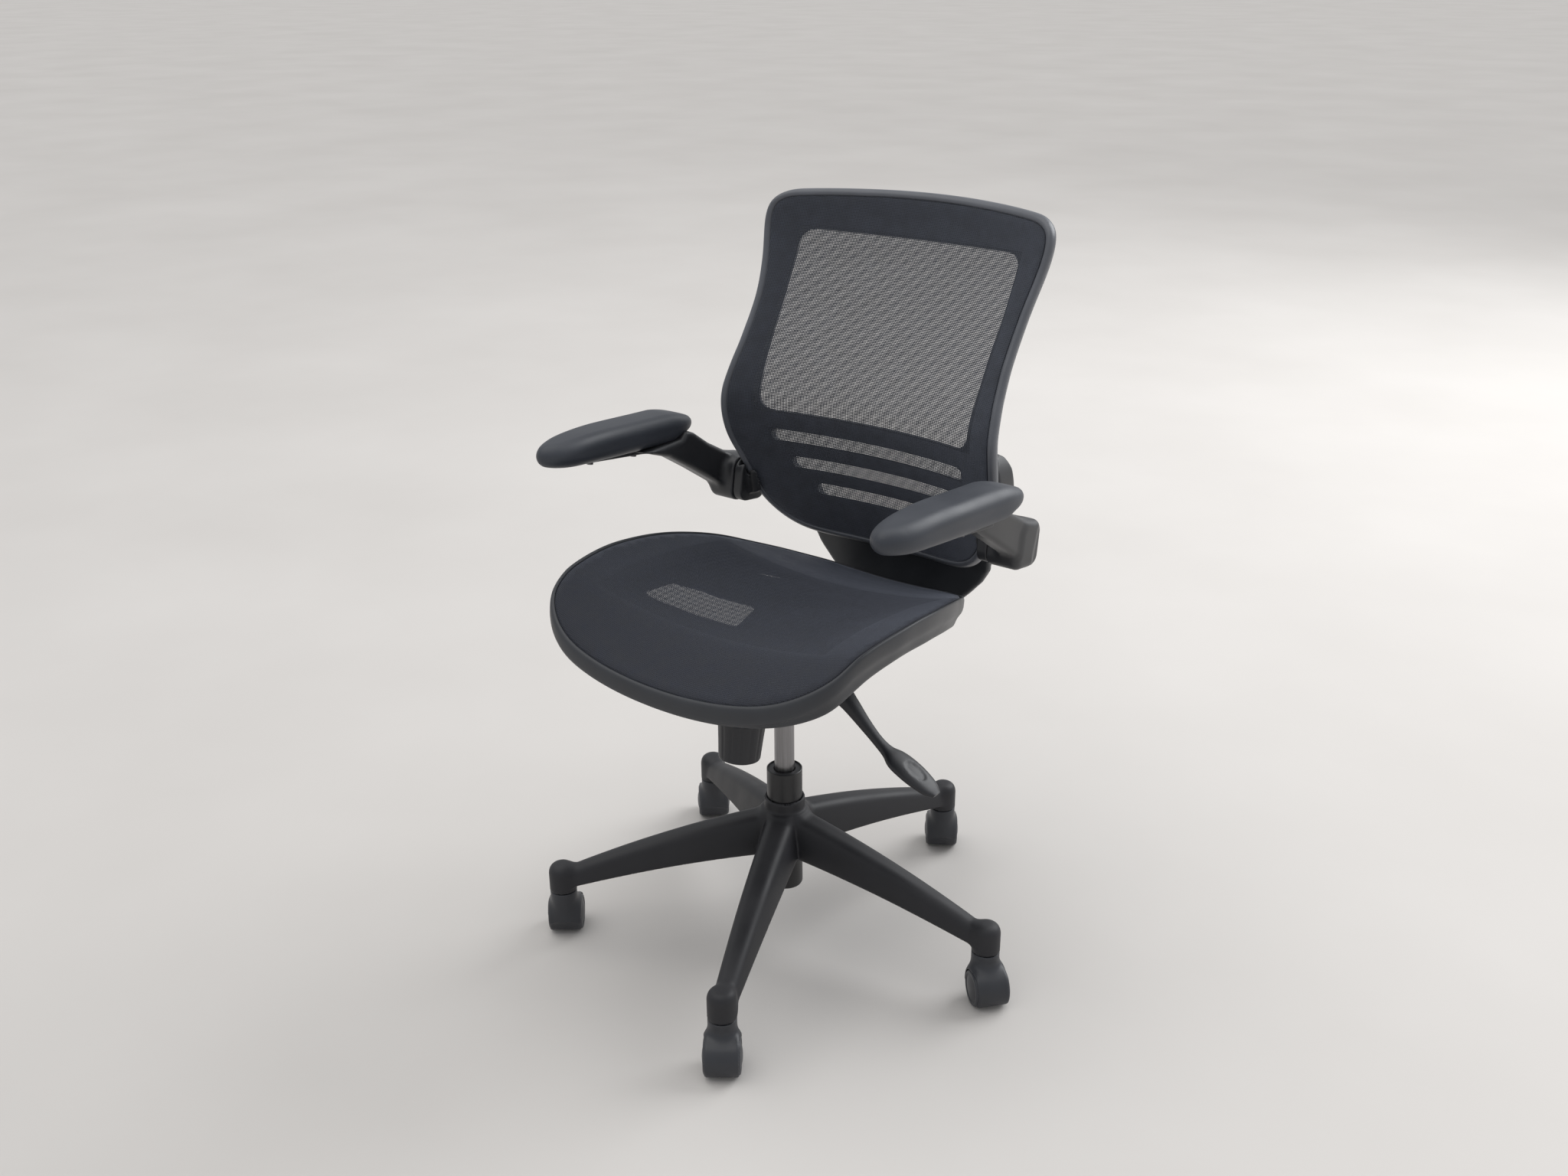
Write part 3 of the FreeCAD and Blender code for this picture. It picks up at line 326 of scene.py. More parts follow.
def outline_field(u, v, loop):
    """Signed distance from points (u, v) to a closed polygon, negative inside."""
    u, v = np.broadcast_arrays(u, v)
    shape = u.shape
    u, v = u.ravel(), v.ravel()
    best = np.full(len(u), 1e18)
    odd = np.zeros(len(u), bool)
    q = np.asarray(loop, float)
    for (ax, ay), (bx, by) in zip(q, np.roll(q, -1, 0)):
        ex, ey = bx - ax, by - ay
        t = np.clip(((u - ax) * ex + (v - ay) * ey) / (ex * ex + ey * ey), 0.0, 1.0)
        best = np.minimum(best, (u - ax - t * ex) ** 2 + (v - ay - t * ey) ** 2)
        if ay != by:
            odd ^= ((ay > v) != (by > v)) & (u < ex * (v - ay) / ey + ax)
    return (np.where(odd, -1.0, 1.0) * np.sqrt(best)).reshape(shape)


def skin(f, lo, hi, h, settle_steps=2):
    """Closed quad surface where the field f(x, y, z) is zero, on a grid of step h (millimetres)."""
    ax = [np.arange(a, b + h, h) for a, b in zip(lo, hi)]
    d = f(ax[0][:, None, None], ax[1][None, :, None], ax[2][None, None, :]).astype(np.float64)
    ins = d < 0
    cnt = sum(ins[i:ins.shape[0] - 1 + i, j:ins.shape[1] - 1 + j, k:ins.shape[2] - 1 + k].astype(np.int8)
              for i in (0, 1) for j in (0, 1) for k in (0, 1))
    cell = np.nonzero((cnt > 0) & (cnt < 8))
    ids = np.full(cnt.shape, -1, np.int64)
    ids[cell] = np.arange(len(cell[0]))
    acc, num = np.zeros((len(cell[0]), 3)), np.zeros(len(cell[0]))
    corner = [(i, j, k) for i in (0, 1) for j in (0, 1) for k in (0, 1)]
    for a in corner:
        for axis in range(3):
            if a[axis]:
                continue
            b = list(a)
            b[axis] = 1
            da = d[cell[0] + a[0], cell[1] + a[1], cell[2] + a[2]]
            db = d[cell[0] + b[0], cell[1] + b[1], cell[2] + b[2]]
            hit = (da < 0) != (db < 0)
            t = np.where(hit, da / np.where(hit, da - db, 1.0), 0.0)
            for m in range(3):
                acc[:, m] += hit * (a[m] + (t if m == axis else 0.0))
            num += hit
    pts = np.stack([ax[m][0] + h * (cell[m] + acc[:, m] / num) for m in range(3)], 1)
    faces = []
    for axis in range(3):
        o1, o2 = [m for m in range(3) if m != axis]
        sl0, sl1 = [slice(None)] * 3, [slice(None)] * 3
        sl0[axis], sl1[axis] = slice(0, -1), slice(1, None)
        edge = ins[tuple(sl0)] != ins[tuple(sl1)]
        at = np.nonzero(edge)
        ok = (at[o1] > 0) & (at[o2] > 0) & (at[o1] < ids.shape[o1]) & (at[o2] < ids.shape[o2])
        at = [x[ok] for x in at]
        corners = []
        for p1, p2 in ((1, 1), (0, 1), (0, 0), (1, 0)):
            idx = [x.copy() for x in at]
            idx[o1] -= p1
            idx[o2] -= p2
            corners.append(ids[tuple(idx)])
        quad = np.stack(corners, 1)
        flip = ins[tuple(at)] ^ (axis == 1)
        quad[~flip] = quad[~flip][:, ::-1]
        faces.append(quad)
    faces = np.vstack(faces)
    e = 0.2
    for _ in range(settle_steps):
        v0 = f(pts[:, 0], pts[:, 1], pts[:, 2])
        g = np.stack([(f(*(pts + e * np.eye(3)[m]).T) - f(*(pts - e * np.eye(3)[m]).T)) / (2 * e) for m in range(3)], 1)
        mv = -v0[:, None] * g / np.maximum((g * g).sum(1), 0.2)[:, None]
        pts = pts + np.clip(mv, -0.6 * h, 0.6 * h)
    return pts, faces.tolist()


# ---------------------------------------------------------------------------
# Materials.
# ---------------------------------------------------------------------------
def new_mat(name):
    m = bpy.data.materials.new(name)
    m.use_nodes = True
    nt = m.node_tree
    return m, nt, nt.nodes["Principled BSDF"]


def node(nt, kind, **kw):
    n = nt.nodes.new(kind)
    for k, v in kw.items():
        setattr(n, k, v)
    return n


def math_node(nt, op, a, b=None, clamp=False):
    n = node(nt, "ShaderNodeMath", operation=op, use_clamp=clamp)
    for i, v in enumerate((a, b)):
        if v is None:
            continue
        if isinstance(v, (int, float)):
            n.inputs[i].default_value = v
        else:
            nt.links.new(v, n.inputs[i])
    return n.outputs[0]


def ramp(nt, fac, stops):
    n = node(nt, "ShaderNodeValToRGB")
    e = n.color_ramp.elements
    while len(e) < len(stops):
        e.new(0.5)
    for k, (p, c) in enumerate(stops):
        e[k].position = p
        e[k].color = (c, c, c, 1) if isinstance(c, (int, float)) else (*c, 1)
    nt.links.new(fac, n.inputs[0])
    return n.outputs[0]


def plastic(name, colour, rough, grain=1100.0, bump=0.12, vary=0.18, dust=0.0, spec=0.5, coat=0.0):
    """Moulded plastic: spark-eroded grain, faint cloudiness, dust on faces that look up, and paler worn edges."""
    m, nt, p = new_mat(name)
    co = node(nt, "ShaderNodeTexCoord")
    fine = node(nt, "ShaderNodeTexNoise")
    fine.inputs["Scale"].default_value = grain
    fine.inputs["Detail"].default_value = 3.0
    cloud = node(nt, "ShaderNodeTexNoise")
    cloud.inputs["Scale"].default_value = 14.0
    cloud.inputs["Detail"].default_value = 5.0
    for t in (fine, cloud):
        nt.links.new(co.outputs["Object"], t.inputs["Vector"])
    c = Vector(colour)
    lo, hi = c * (1 - vary), c * (1 + vary)
    base = ramp(nt, cloud.outputs["Fac"], [(0.3, tuple(lo)), (0.7, tuple(hi))])
    geo = node(nt, "ShaderNodeNewGeometry")
    edge = ramp(nt, geo.outputs["Pointiness"], [(0.505, 0.0), (0.56, 1.0)])
    worn = node(nt, "ShaderNodeMix", data_type="RGBA")
    nt.links.new(math_node(nt, "MULTIPLY", edge, 0.18), worn.inputs["Factor"])
    nt.links.new(base, worn.inputs[6])
    worn.inputs[7].default_value = (*(c * 1.9 + Vector((0.012, 0.012, 0.012))), 1)
    last = worn.outputs[2]
    if dust > 0:
        sep = node(nt, "ShaderNodeSeparateXYZ")
        nt.links.new(geo.outputs["Normal"], sep.inputs[0])
        upf = ramp(nt, sep.outputs["Z"], [(0.35, 0.0), (1.0, 1.0)])
        spots = ramp(nt, cloud.outputs["Fac"], [(0.35, 0.2), (0.75, 1.0)])
        d = node(nt, "ShaderNodeMix", data_type="RGBA")
        nt.links.new(math_node(nt, "MULTIPLY", math_node(nt, "MULTIPLY", upf, spots), dust), d.inputs["Factor"])
        nt.links.new(last, d.inputs[6])
        d.inputs[7].default_value = (0.16, 0.15, 0.14, 1)
        last = d.outputs[2]
    nt.links.new(last, p.inputs["Base Color"])
    rr = ramp(nt, cloud.outputs["Fac"], [(0.3, max(0.05, rough - 0.06)), (0.7, min(1.0, rough + 0.07))])
    nt.links.new(rr, p.inputs["Roughness"])
    b = node(nt, "ShaderNodeBump")
    b.inputs["Strength"].default_value = bump
    b.inputs["Distance"].default_value = 0.0004
    nt.links.new(fine.outputs["Fac"], b.inputs["Height"])
    nt.links.new(b.outputs[0], p.inputs["Normal"])
    p.inputs["Specular IOR Level"].default_value = spec
    p.inputs["Coat Weight"].default_value = coat
    return m


def metal(name, colour, rough, stretch=(1, 1, 1), scale=300.0, bump=0.05):
    m, nt, p = new_mat(name)
    co = node(nt, "ShaderNodeTexCoord")
    mp = node(nt, "ShaderNodeMapping")
    mp.inputs["Scale"].default_value = stretch
    nt.links.new(co.outputs["Object"], mp.inputs[0])
    t = node(nt, "ShaderNodeTexNoise")
    t.inputs["Scale"].default_value = scale
    t.inputs["Detail"].default_value = 4.0
    nt.links.new(mp.outputs[0], t.inputs["Vector"])
    c = Vector(colour)
    nt.links.new(ramp(nt, t.outputs["Fac"], [(0.3, tuple(c * 0.86)), (0.7, tuple(c * 1.1))]), p.inputs["Base Color"])
    nt.links.new(ramp(nt, t.outputs["Fac"], [(0.3, max(0.04, rough - 0.07)), (0.7, rough + 0.09)]), p.inputs["Roughness"])
    p.inputs["Metallic"].default_value = 1.0
    b = node(nt, "ShaderNodeBump")
    b.inputs["Strength"].default_value = bump
    b.inputs["Distance"].default_value = 0.0002
    nt.links.new(t.outputs["Fac"], b.inputs["Height"])
    nt.links.new(b.outputs[0], p.inputs["Normal"])
    return m


PITCH = 2.2


def cloth(name, colour, hole):
    """Woven mesh: threads with the gaps between them painted dark as the shade seen through the weave, on the map's
    millimetre grid, slub and a soft nap.
    """
    m, nt, p = new_mat(name)
    uv = node(nt, "ShaderNodeUVMap", uv_map="weave")
    sep = node(nt, "ShaderNodeSeparateXYZ")
    nt.links.new(uv.outputs[0], sep.inputs[0])

    def cell(axis):
        t = math_node(nt, "FRACT", math_node(nt, "DIVIDE", sep.outputs[axis], PITCH))
        return math_node(nt, "ABSOLUTE", math_node(nt, "SUBTRACT", t, 0.5))

    a, b = cell("X"), cell("Y")
    far = math_node(nt, "MAXIMUM", a, b)
    thread = ramp(nt, far, [(0.20, 0.0), (0.30, 1.0)])
    co = node(nt, "ShaderNodeTexCoord")
    slub = node(nt, "ShaderNodeTexNoise")
    slub.inputs["Scale"].default_value = 55.0
    slub.inputs["Detail"].default_value = 6.0
    nt.links.new(co.outputs["Object"], slub.inputs["Vector"])
    c = Vector(colour)
    yarn = ramp(nt, slub.outputs["Fac"], [(0.3, tuple(c * 0.8)), (0.72, tuple(c * 1.25))])
    # thread picks the yarn; the gaps get the yarn colour times hole, painted shade standing in for the dark seen
    # through open cells.
    mix = node(nt, "ShaderNodeMix", data_type="RGBA")
    nt.links.new(thread, mix.inputs["Factor"])
    mix.inputs[6].default_value = (*(c * hole), 1)
    nt.links.new(yarn, mix.inputs[7])
    nt.links.new(mix.outputs[2], p.inputs["Base Color"])
    nt.links.new(ramp(nt, slub.outputs["Fac"], [(0.3, 0.62), (0.7, 0.82)]), p.inputs["Roughness"])
    bump = node(nt, "ShaderNodeBump")
    bump.inputs["Strength"].default_value = 0.6
    bump.inputs["Distance"].default_value = 0.0005
    nt.links.new(math_node(nt, "ADD", thread, math_node(nt, "MULTIPLY", slub.outputs["Fac"], 0.3)), bump.inputs["Height"])
    nt.links.new(bump.outputs[0], p.inputs["Normal"])
    p.inputs["Sheen Weight"].default_value = 0.25
    p.inputs["Sheen Roughness"].default_value = 0.45
    p.inputs["Sheen Tint"].default_value = (0.75, 0.82, 1.0, 1)
    p.inputs["Specular IOR Level"].default_value = 0.3
    return m


M_BASE = plastic("nylon_base", (0.0175, 0.0175, 0.0205), 0.52, grain=900, bump=0.16, dust=0.06, spec=0.38)
M_BACK = plastic("frame_plastic", (0.024, 0.026, 0.030), 0.40, grain=1000, bump=0.14, dust=0.05)
# Back frame plastic, much paler than frame_plastic: a painted highlight that stands in for the light band the round rim
# catches from behind.
M_RIM_PAINTED_HIGHLIGHT = plastic("rim_plastic_painted_highlight", (0.088, 0.093, 0.107), 0.38, grain=1200, bump=0.10, dust=0.05)
M_SEAT = plastic("seat_plastic", (0.024, 0.026, 0.031), 0.45, grain=1000, bump=0.14, dust=0.05)
M_ARM = plastic("arm_plastic", (0.022, 0.023, 0.026), 0.42, grain=1000, bump=0.16, dust=0.05)
M_PAD = plastic("pad_skin", (0.031, 0.0355, 0.046), 0.48, grain=700, bump=0.20, vary=0.12, dust=0.06)
M_CAST = plastic("caster_nylon", (0.025, 0.027, 0.033), 0.42, grain=1200, bump=0.10, dust=0.06)
M_WHEEL = plastic("wheel_nylon", (0.033, 0.035, 0.042), 0.40, grain=1200, bump=0.10, dust=0.05)
M_KNOB = plastic("knob_plastic", (0.0145, 0.015, 0.0185), 0.47, grain=1000, bump=0.14)
M_GUIDE = plastic("guide_plastic", (0.030, 0.030, 0.032), 0.35, grain=1300, bump=0.06)
M_PAINT = plastic("black_paint", (0.009, 0.009, 0.010), 0.40, grain=500, bump=0.10, coat=0.06)
M_VALVE = plastic("valve_plastic", (0.20, 0.20, 0.20), 0.40, grain=1300, bump=0.05)
M_STEEL = metal("bright_steel", (0.52, 0.52, 0.53), 0.30, (1, 1, 0.05), 420)
M_CHROME = metal("satin_tube", (0.26, 0.255, 0.26), 0.34, (1, 1, 0.04), 380, 0.04)
M_ZINC = metal("dark_zinc", (0.11, 0.11, 0.115), 0.36, (1, 1, 1), 500)
M_SPRING = metal("spring_steel", (0.10, 0.10, 0.11), 0.40, (1, 1, 1), 500)
# Each weave darkens its thread gaps to 0.30 of its yarn colour: painted shade.
M_BMESH = cloth("back_weave", (0.044, 0.0485, 0.062), 0.30)
M_SMESH = cloth("seat_weave", (0.0215, 0.0235, 0.032), 0.30)
BY_SLOT = {"nylon_black": M_BASE, "painted_black": M_PAINT, "guide_plastic": M_GUIDE, "steel": M_STEEL, "zinc_screw": M_ZINC,
           "chrome_tube": M_CHROME, "valve_red": M_VALVE, "spring_steel": M_SPRING, "lever_plastic": M_KNOB, "seat_plastic": M_SEAT,
           "seat_mesh": M_SMESH, "back_mesh": M_BMESH, "back_plastic": M_BACK, "arm_pad": M_PAD, "caster_plastic": M_CAST, "caster_wheel": M_WHEEL}
for sub in frame["record"]["subparts"]:
    o = NODES[sub["node"]]
    mat = BY_SLOT[sub["material_slot"]]
    if o.material_slots:
        for s in o.material_slots:
            s.material = mat
    else:
        o.data.materials.append(mat)
for nm in ("arm_pin_left", "arm_pin_right"):
    for s in NODES[nm].material_slots:
        s.material = M_ARM

# ---------------------------------------------------------------------------
# Woven sheet with real openings where light passes, plain weave elsewhere.
# ---------------------------------------------------------------------------


def woven(name, loop, tucks, surf, rects, mat, body, node_name, opening, step=10.0):
    """loop is the sheet's flat edge; tucks are (inset, lift) rows that carry it down into its groove; rects are the
    fields with open cells; surf(u, v, lift) puts a flat point on the stretched surface."""
    uv, lift, faces = [], [], []
    count = 0

    def add(pts, l):
        nonlocal count
        a = count
        uv.append(np.asarray(pts, float))
        lift.append(np.broadcast_to(np.asarray(l, float), (len(pts),)))
        count += len(pts)
        return a

    n = len(loop)
    rows = [add(inset(loop, d), l) for d, l in tucks]
    for a, b in zip(rows[:-1], rows[1:]):
        faces += strip(a, b, n)
    edge = inset(loop, tucks[-1][0])
    loops, index = [edge], [np.arange(rows[-1], rows[-1] + n)]
    for x0, x1, v0, v1 in rects:
        nx, nv = max(2, round((x1 - x0) / PITCH)), max(2, round((v1 - v0) / PITCH))
        gx = x0 + PITCH * np.arange(nx + 1)
        gv = v0 + PITCH * np.arange(nv + 1)
        grid = np.stack(np.meshgrid(gx, gv, indexing="ij"), -1)
        g0 = add(grid.reshape(-1, 2), 0.30)
        gi = g0 + np.arange((nx + 1) * (nv + 1)).reshape(nx + 1, nv + 1)
        cx, cv = np.meshgrid(gx[:-1] + PITCH / 2, gv[:-1] + PITCH / 2, indexing="ij")
        half = 0.5 * PITCH * np.sqrt(opening(cx, cv))
        hole = np.stack([np.stack([cx + sx * half, cv + sv * half], -1) for sx, sv in ((-1, -1), (1, -1), (1, 1), (-1, 1))], 2)
        h0 = add(hole.reshape(-1, 2), 0.0)
        hi = h0 + np.arange(nx * nv * 4).reshape(nx, nv, 4)
        c = np.stack([gi[:-1, :-1], gi[1:, :-1], gi[1:, 1:], gi[:-1, 1:]], -1)
        for k in range(4):
            j = (k + 1) % 4
            faces += np.stack([c[..., k], c[..., j], hi[..., j], hi[..., k]], -1).reshape(-1, 4).tolist()
        ring = np.concatenate([gi[:-1, 0], gi[-1, :-1], gi[:0:-1, -1], gi[0, :0:-1]])
        flat = np.vstack(uv)
        loops.append(flat[ring])
        index.append(ring)
    extra = inner_points(edge, loops[1:], step, step * 0.45)
    e0 = add(extra, 0.25)
    index = np.concatenate(index + [np.arange(e0, e0 + len(extra))])
    _, tri = fill(loops, extra)
    faces += [tuple(index[i] for i in f) for f in tri]
    uv = np.vstack(uv)
    lift = np.concatenate(lift)
    verts = lean(surf(uv[:, 0], uv[:, 1], lift))
    o = piece(name, verts, faces, mat, body, (node_name,), uv=uv, fix=False)
    return o


# ---------------------------------------------------------------------------
# Back: moulded frame with a round rim, and its stretched mesh.
# ---------------------------------------------------------------------------
YC = smooth([530, 561, 605, 626, 663, 702, 745, 764, 785, 806, 827, 849, 870, 892, 913, 935, 956, 977, 998, 1018, 1070],
            [250, 235, 213, 205, 190, 174, 161, 160, 164, 170, 178, 186.5, 196, 206, 214.5, 223, 231, 237.5, 242.5, 246, 252])


def back_y(x, z):
    return YC(z) - 0.001157 * x * x


BH = [(60, 548), (110, 550), (140, 556), (160, 566), (178, 582), (193, 604), (204, 630), (212, 657), (220, 680), (225, 702), (226, 745), (222, 785), (217, 827),
      (215, 870), (217, 913), (223.5, 956), (229, 988), (230, 1008), (225, 1027), (210, 1040), (180, 1047), (120, 1052), (60, 1055)]
BLOOP = closed_spline([(0, 547)] + BH + [(0, 1056)] + [(-x, z) for x, z in reversed(BH)], 440)


def back_pts(xz, depth):
    return np.stack([xz[:, 0], back_y(xz[:, 0], xz[:, 1]) + depth, xz[:, 1]], 1)


def plate(outer_rows, hole_rows, put, step=10.0):
    """Solid plate: outer_rows and each of hole_rows are lists of (loop, depth) from the front fill's edge round to the
    rear fill's edge; put(loop, depth) gives the points."""
    parts_v, faces, at = [], [], 0
    starts = []
    for rows in [outer_rows] + hole_rows:
        n = len(rows[0][0])
        row0 = []
        for l, dep in rows:
            parts_v.append(put(l, dep))
            row0.append(at)
            at += n
        for a, b in zip(row0[:-1], row0[1:]):
            faces += strip(a, b, n)
        starts.append((row0[0], row0[-1], n))
    for end in (0, 1):
        loops = [rows[0 if end == 0 else -1][0] for rows in [outer_rows] + hole_rows]
        dep = outer_rows[0 if end == 0 else -1][1]
        extra = inner_points(loops[0], loops[1:], step, step * 0.4)
        idx = np.concatenate([np.arange(s[end], s[end] + s[2]) for s in starts] + [np.arange(at, at + len(extra))])
        _, tri = fill(loops, extra)
        parts_v.append(put(extra, dep))
        at += len(extra)
        faces += [tuple(idx[i] for i in f) for f in tri]
    return np.vstack(parts_v), faces


RIM = [(12.4, 0.0), (11.6, 0.3), (11.2, 1.5), (10.5, 1.6), (10.1, 0.3), (9.3, -0.7), (7.6, -1.4), (5.4, -1.2), (3.4, 0.0), (1.8, 2.0), (0.7, 4.6),
       (0.1, 7.6), (0.0, 10.4), (0.4, 13.4), (1.6, 16.4), (3.6, 18.7), (6.2, 19.8), (9.0, 20.0), (11.5, 20.0)]
outer_rows = [(inset(BLOOP, i), dpt) for i, dpt in RIM]
WINDOW = even(rounded([(172, 739), (178, 992), (-178, 992), (-172, 739)], 20), 260)
if area2(WINDOW) < 0:
    WINDOW = WINDOW[::-1]
SLOTS = []
for half, z in ((160, 702), (136, 663), (104, 626)):
    l = even(rounded([(half, z - 8.5), (half, z + 8.5), (-half, z + 8.5), (-half, z - 8.5)], 8.2), 150)
    SLOTS.append(l if area2(l) > 0 else l[::-1])
HOLE = [(-1.8, 0.0), (-1.0, 0.2), (-0.35, 0.8), (0.0, 1.8), (0.0, 3.4), (-0.4, 4.6), (-1.2, 6.2), (-2.6, 9.0), (-4.6, 13.0), (-6.4, 16.6), (-7.4, 18.4), (-8.6, 19.6), (-10.0, 20.0)]
hole_rows = []
for l, k in zip([WINDOW] + SLOTS, (1.0, 0.55, 0.55, 0.55)):
    hole_rows.append([(inset(l, i * k if dpt > 3.5 else i), dpt) for i, dpt in HOLE])
v, f = plate(outer_rows, hole_rows, back_pts)
# The whole back frame wears the paler plastic that carries the painted rim highlight.
back_shell = piece("back_shell", lean(v), f, M_RIM_PAINTED_HIGHLIGHT, "seat", ("back_frame",))


def back_surf(x, z, lift):
    return np.stack([x, back_y(x, z) - 0.45 - lift, z], 1)


def back_open(x, z):
    p1 = np.sin(2 * PI * (x - z) / math.sqrt(2) / 14.0)
    p2 = np.sin(2 * PI * (x + z) / math.sqrt(2) / 19.0)
    return (0.186 + 0.042 * p1 + 0.03 * p1 * p2) * np.where(z < 720.0, 0.7, 1.0)


RECTS = [(-180.4, 180.4, 736.0, 995.6), (-162.8, 162.8, 692.1, 711.9), (-140.8, 140.8, 653.1, 672.9), (-107.8, 107.8, 616.1, 635.9)]
back_cloth = woven("back_mesh_cloth", BLOOP, [(10.9, -1.6), (11.5, -0.4), (12.6, 0.2)], back_surf, RECTS, M_BMESH, "seat", "back_mesh", back_open)

# ---------------------------------------------------------------------------
# Seat: moulded rim with a bead, undercut lip and pan; stretched mesh.
# ---------------------------------------------------------------------------
HALF = [(60, -271), (120, -267), (170, -258), (207, -241.5), (231, -217), (238, -192), (242, -150), (244, -100), (241.5, -60), (237.4, -20), (230, 20),
        (219.4, 61.5), (205, 103), (186, 145), (163, 187), (137, 225), (108, 249), (60, 260)]
SLOOP = closed_spline([(0, -272)] + HALF + [(0, 262)] + [(-x, y) for x, y in reversed(HALF)], 460)
ZC = smooth([-300, -272, -258, -242, -217, -192, -180, -100, 0, 60, 103, 145, 187, 229, 258, 300],
            [437, 453, 460.3, 471.3, 488, 502.7, 508, 524, 530, 528, 524, 517, 510, 502, 498, 494])
RIM_MORE = smooth([-300, -272, -258, -242, -217, -192, -180, -150, -110, 0, 300], [-1.15, -1, -0.79, -0.33, 0.25, 0.57, 0.54, 0.225, 0, 0, 0])


def seat_z(x, y):
    return ZC(y) + 0.000588 * x * x


def rim_depth(y):
    return 42.0 + 12.0 * RIM_MORE(y)


def seat_pts(xy, depth):
    return np.stack([xy[:, 0], xy[:, 1], seat_z(xy[:, 0], xy[:, 1]) - depth], 1)


LIP = [(24, 4.0), (14, 1.2), (8.2, 0.8), (7.4, 1.3), (7.0, 2.6), (6.3, 2.7), (5.9, 1.0), (5.2, -0.2), (4.0, -0.9), (2.6, -0.7), (1.4, 0.5), (0.5, 2.4), (0.05, 5.0),
       (0.0, 9.0), (0.15, 14.0), (0.8, 18.5), (2.2, 22.0), (4.2, 25.0), (6.2, 28.4), (7.8, 32.0), (9.0, 36.0), (10.2, 39.2), (12.0, 41.3), (14.5, 42.0), (19.5, 42.0),
       (22.5, 41.0), (23.8, 38.0), (24.0, 30.0), (24.0, 16.0)]
vs, fs, at, n = [], [], 0, len(SLOOP)
for i, dep in LIP:
    l = inset(SLOOP, i)
    vs.append(seat_pts(l, dep if dep <= 22 else 22.0 + (dep - 22.0) * (rim_depth(l[:, 1]) - 22.0) / 20.0))
    at += n
for r in range(len(LIP)):
    fs += strip(r * n, ((r + 1) % len(LIP)) * n, n)
ring = (np.vstack(vs), fs)
pan_loop = inset(SLOOP, 21)
PANWIN = []
for s in (1, -1):
    l = even(rounded([(s * 189, -91), (s * 191, -16), (s * 109, 77), (s * 81, -7)], 9), 120)
    PANWIN.append(l if area2(l) > 0 else l[::-1])


def pan_pts(xy, depth):
    x, y = xy[:, 0], xy[:, 1]
    z = 452.1 + 0.0014 * x ** 2 + 15.0 * step01((y - 165.0) / 80.0) + 7.0 * step01((np.abs(x) - 150.0) / 35.0) * step01((y + 10.0) / 40.0)
    return np.stack([x, y, smin(z, seat_z(x, y) - 17.0, 10.0) - depth], 1)


pan = plate([(pan_loop, 0.0), (pan_loop, 5.0)], [[(inset(l, -1.5), 0.0), (inset(l, -0.4), 0.4), (l, 1.5), (l, 3.5), (inset(l, -0.4), 4.6), (inset(l, -1.5), 5.0)] for l in PANWIN],
            pan_pts, 14.0)
v, f = join_shells([ring, pan])
seat_shell = piece("seat_shell", lean(v), f, M_SEAT, "seat", ("seat_frame",), sharp=50)


def seat_surf(x, y, lift):
    return np.stack([x, y, seat_z(x, y) + 0.25 + lift], 1)


def seat_open(x, y):
    p1 = np.sin(2 * PI * (x - y) / math.sqrt(2) / 14.0)
    p2 = np.sin(2 * PI * (x + y) / math.sqrt(2) / 15.0)
    edge = np.minimum(np.minimum(x + 184.8, 184.8 - x), np.minimum(y + 178.2, 90.2 - y))
    return np.maximum((0.072 + 0.046 * p1 * p2) * step01(edge / 42.0), 0.004)


SRECT = [(-184.8, 184.8, -178.2, 90.2)]
seat_cloth = woven("seat_mesh_cloth", SLOOP, [(6.7, -2.6), (7.3, -1.0), (8.4, 0.2)], seat_surf, SRECT, M_SMESH, "seat", "seat_mesh", seat_open)

# ---------------------------------------------------------------------------
# Arm pads: skin-foam mouldings, flat on top with soft shoulders and a round rear end over the stem.
# ---------------------------------------------------------------------------
PF, PR = -214.0, 82.0


def pad_mid(y):
    return 265.0 + 6.0 * (y - PF) / (PR - PF)


side = [(3.5, PF), (15.3, PF + 9), (25.3, PF + 29.6), (30.2, PF + 71), (32.6, PF + 139), (32.5, PF + 207), (31.8, PR - 41.4), (25.4, PR - 16.3), (14.3, PR - 3)]
pp = [(pad_mid(y) + w, y) for w, y in side] + [(pad_mid(PR), PR)] + [(pad_mid(y) - w, y) for w, y in side[:0:-1]]
PLOOP = closed_spline(pp, 120)


def pad_field(x, y, z):
    d2 = outline_field(x + 0.0 * y, y + 0.0 * x, PLOOP)
    top = 728.0 - 0.06 * np.maximum(20.0 - y, 0.0) - 12.0 * np.clip((-y - 90) / 125.0, 0, 1) ** 2 - 14.0 * np.clip((y - 20) / 70.0, 0, 1) ** 2
    top = top - ((x - pad_mid(y)) / 40.0) ** 2 * 2.5
    low = 684.0 + 0.06 * y + 17.0 * np.clip((y - 24.0) / 64.0, 0, 1.2) ** 1.2 + 5.0 * np.clip((-y - 160) / 55.0, 0, 1) ** 2
    half = 0.5 * (top - low)
    return rounded_prism(d2, z - 0.5 * (top + low), half, np.minimum(16.5, half - 0.5))


pv, pf_ = skin(pad_field, (228, -218, 664), (310, 86, 732), 1.6)


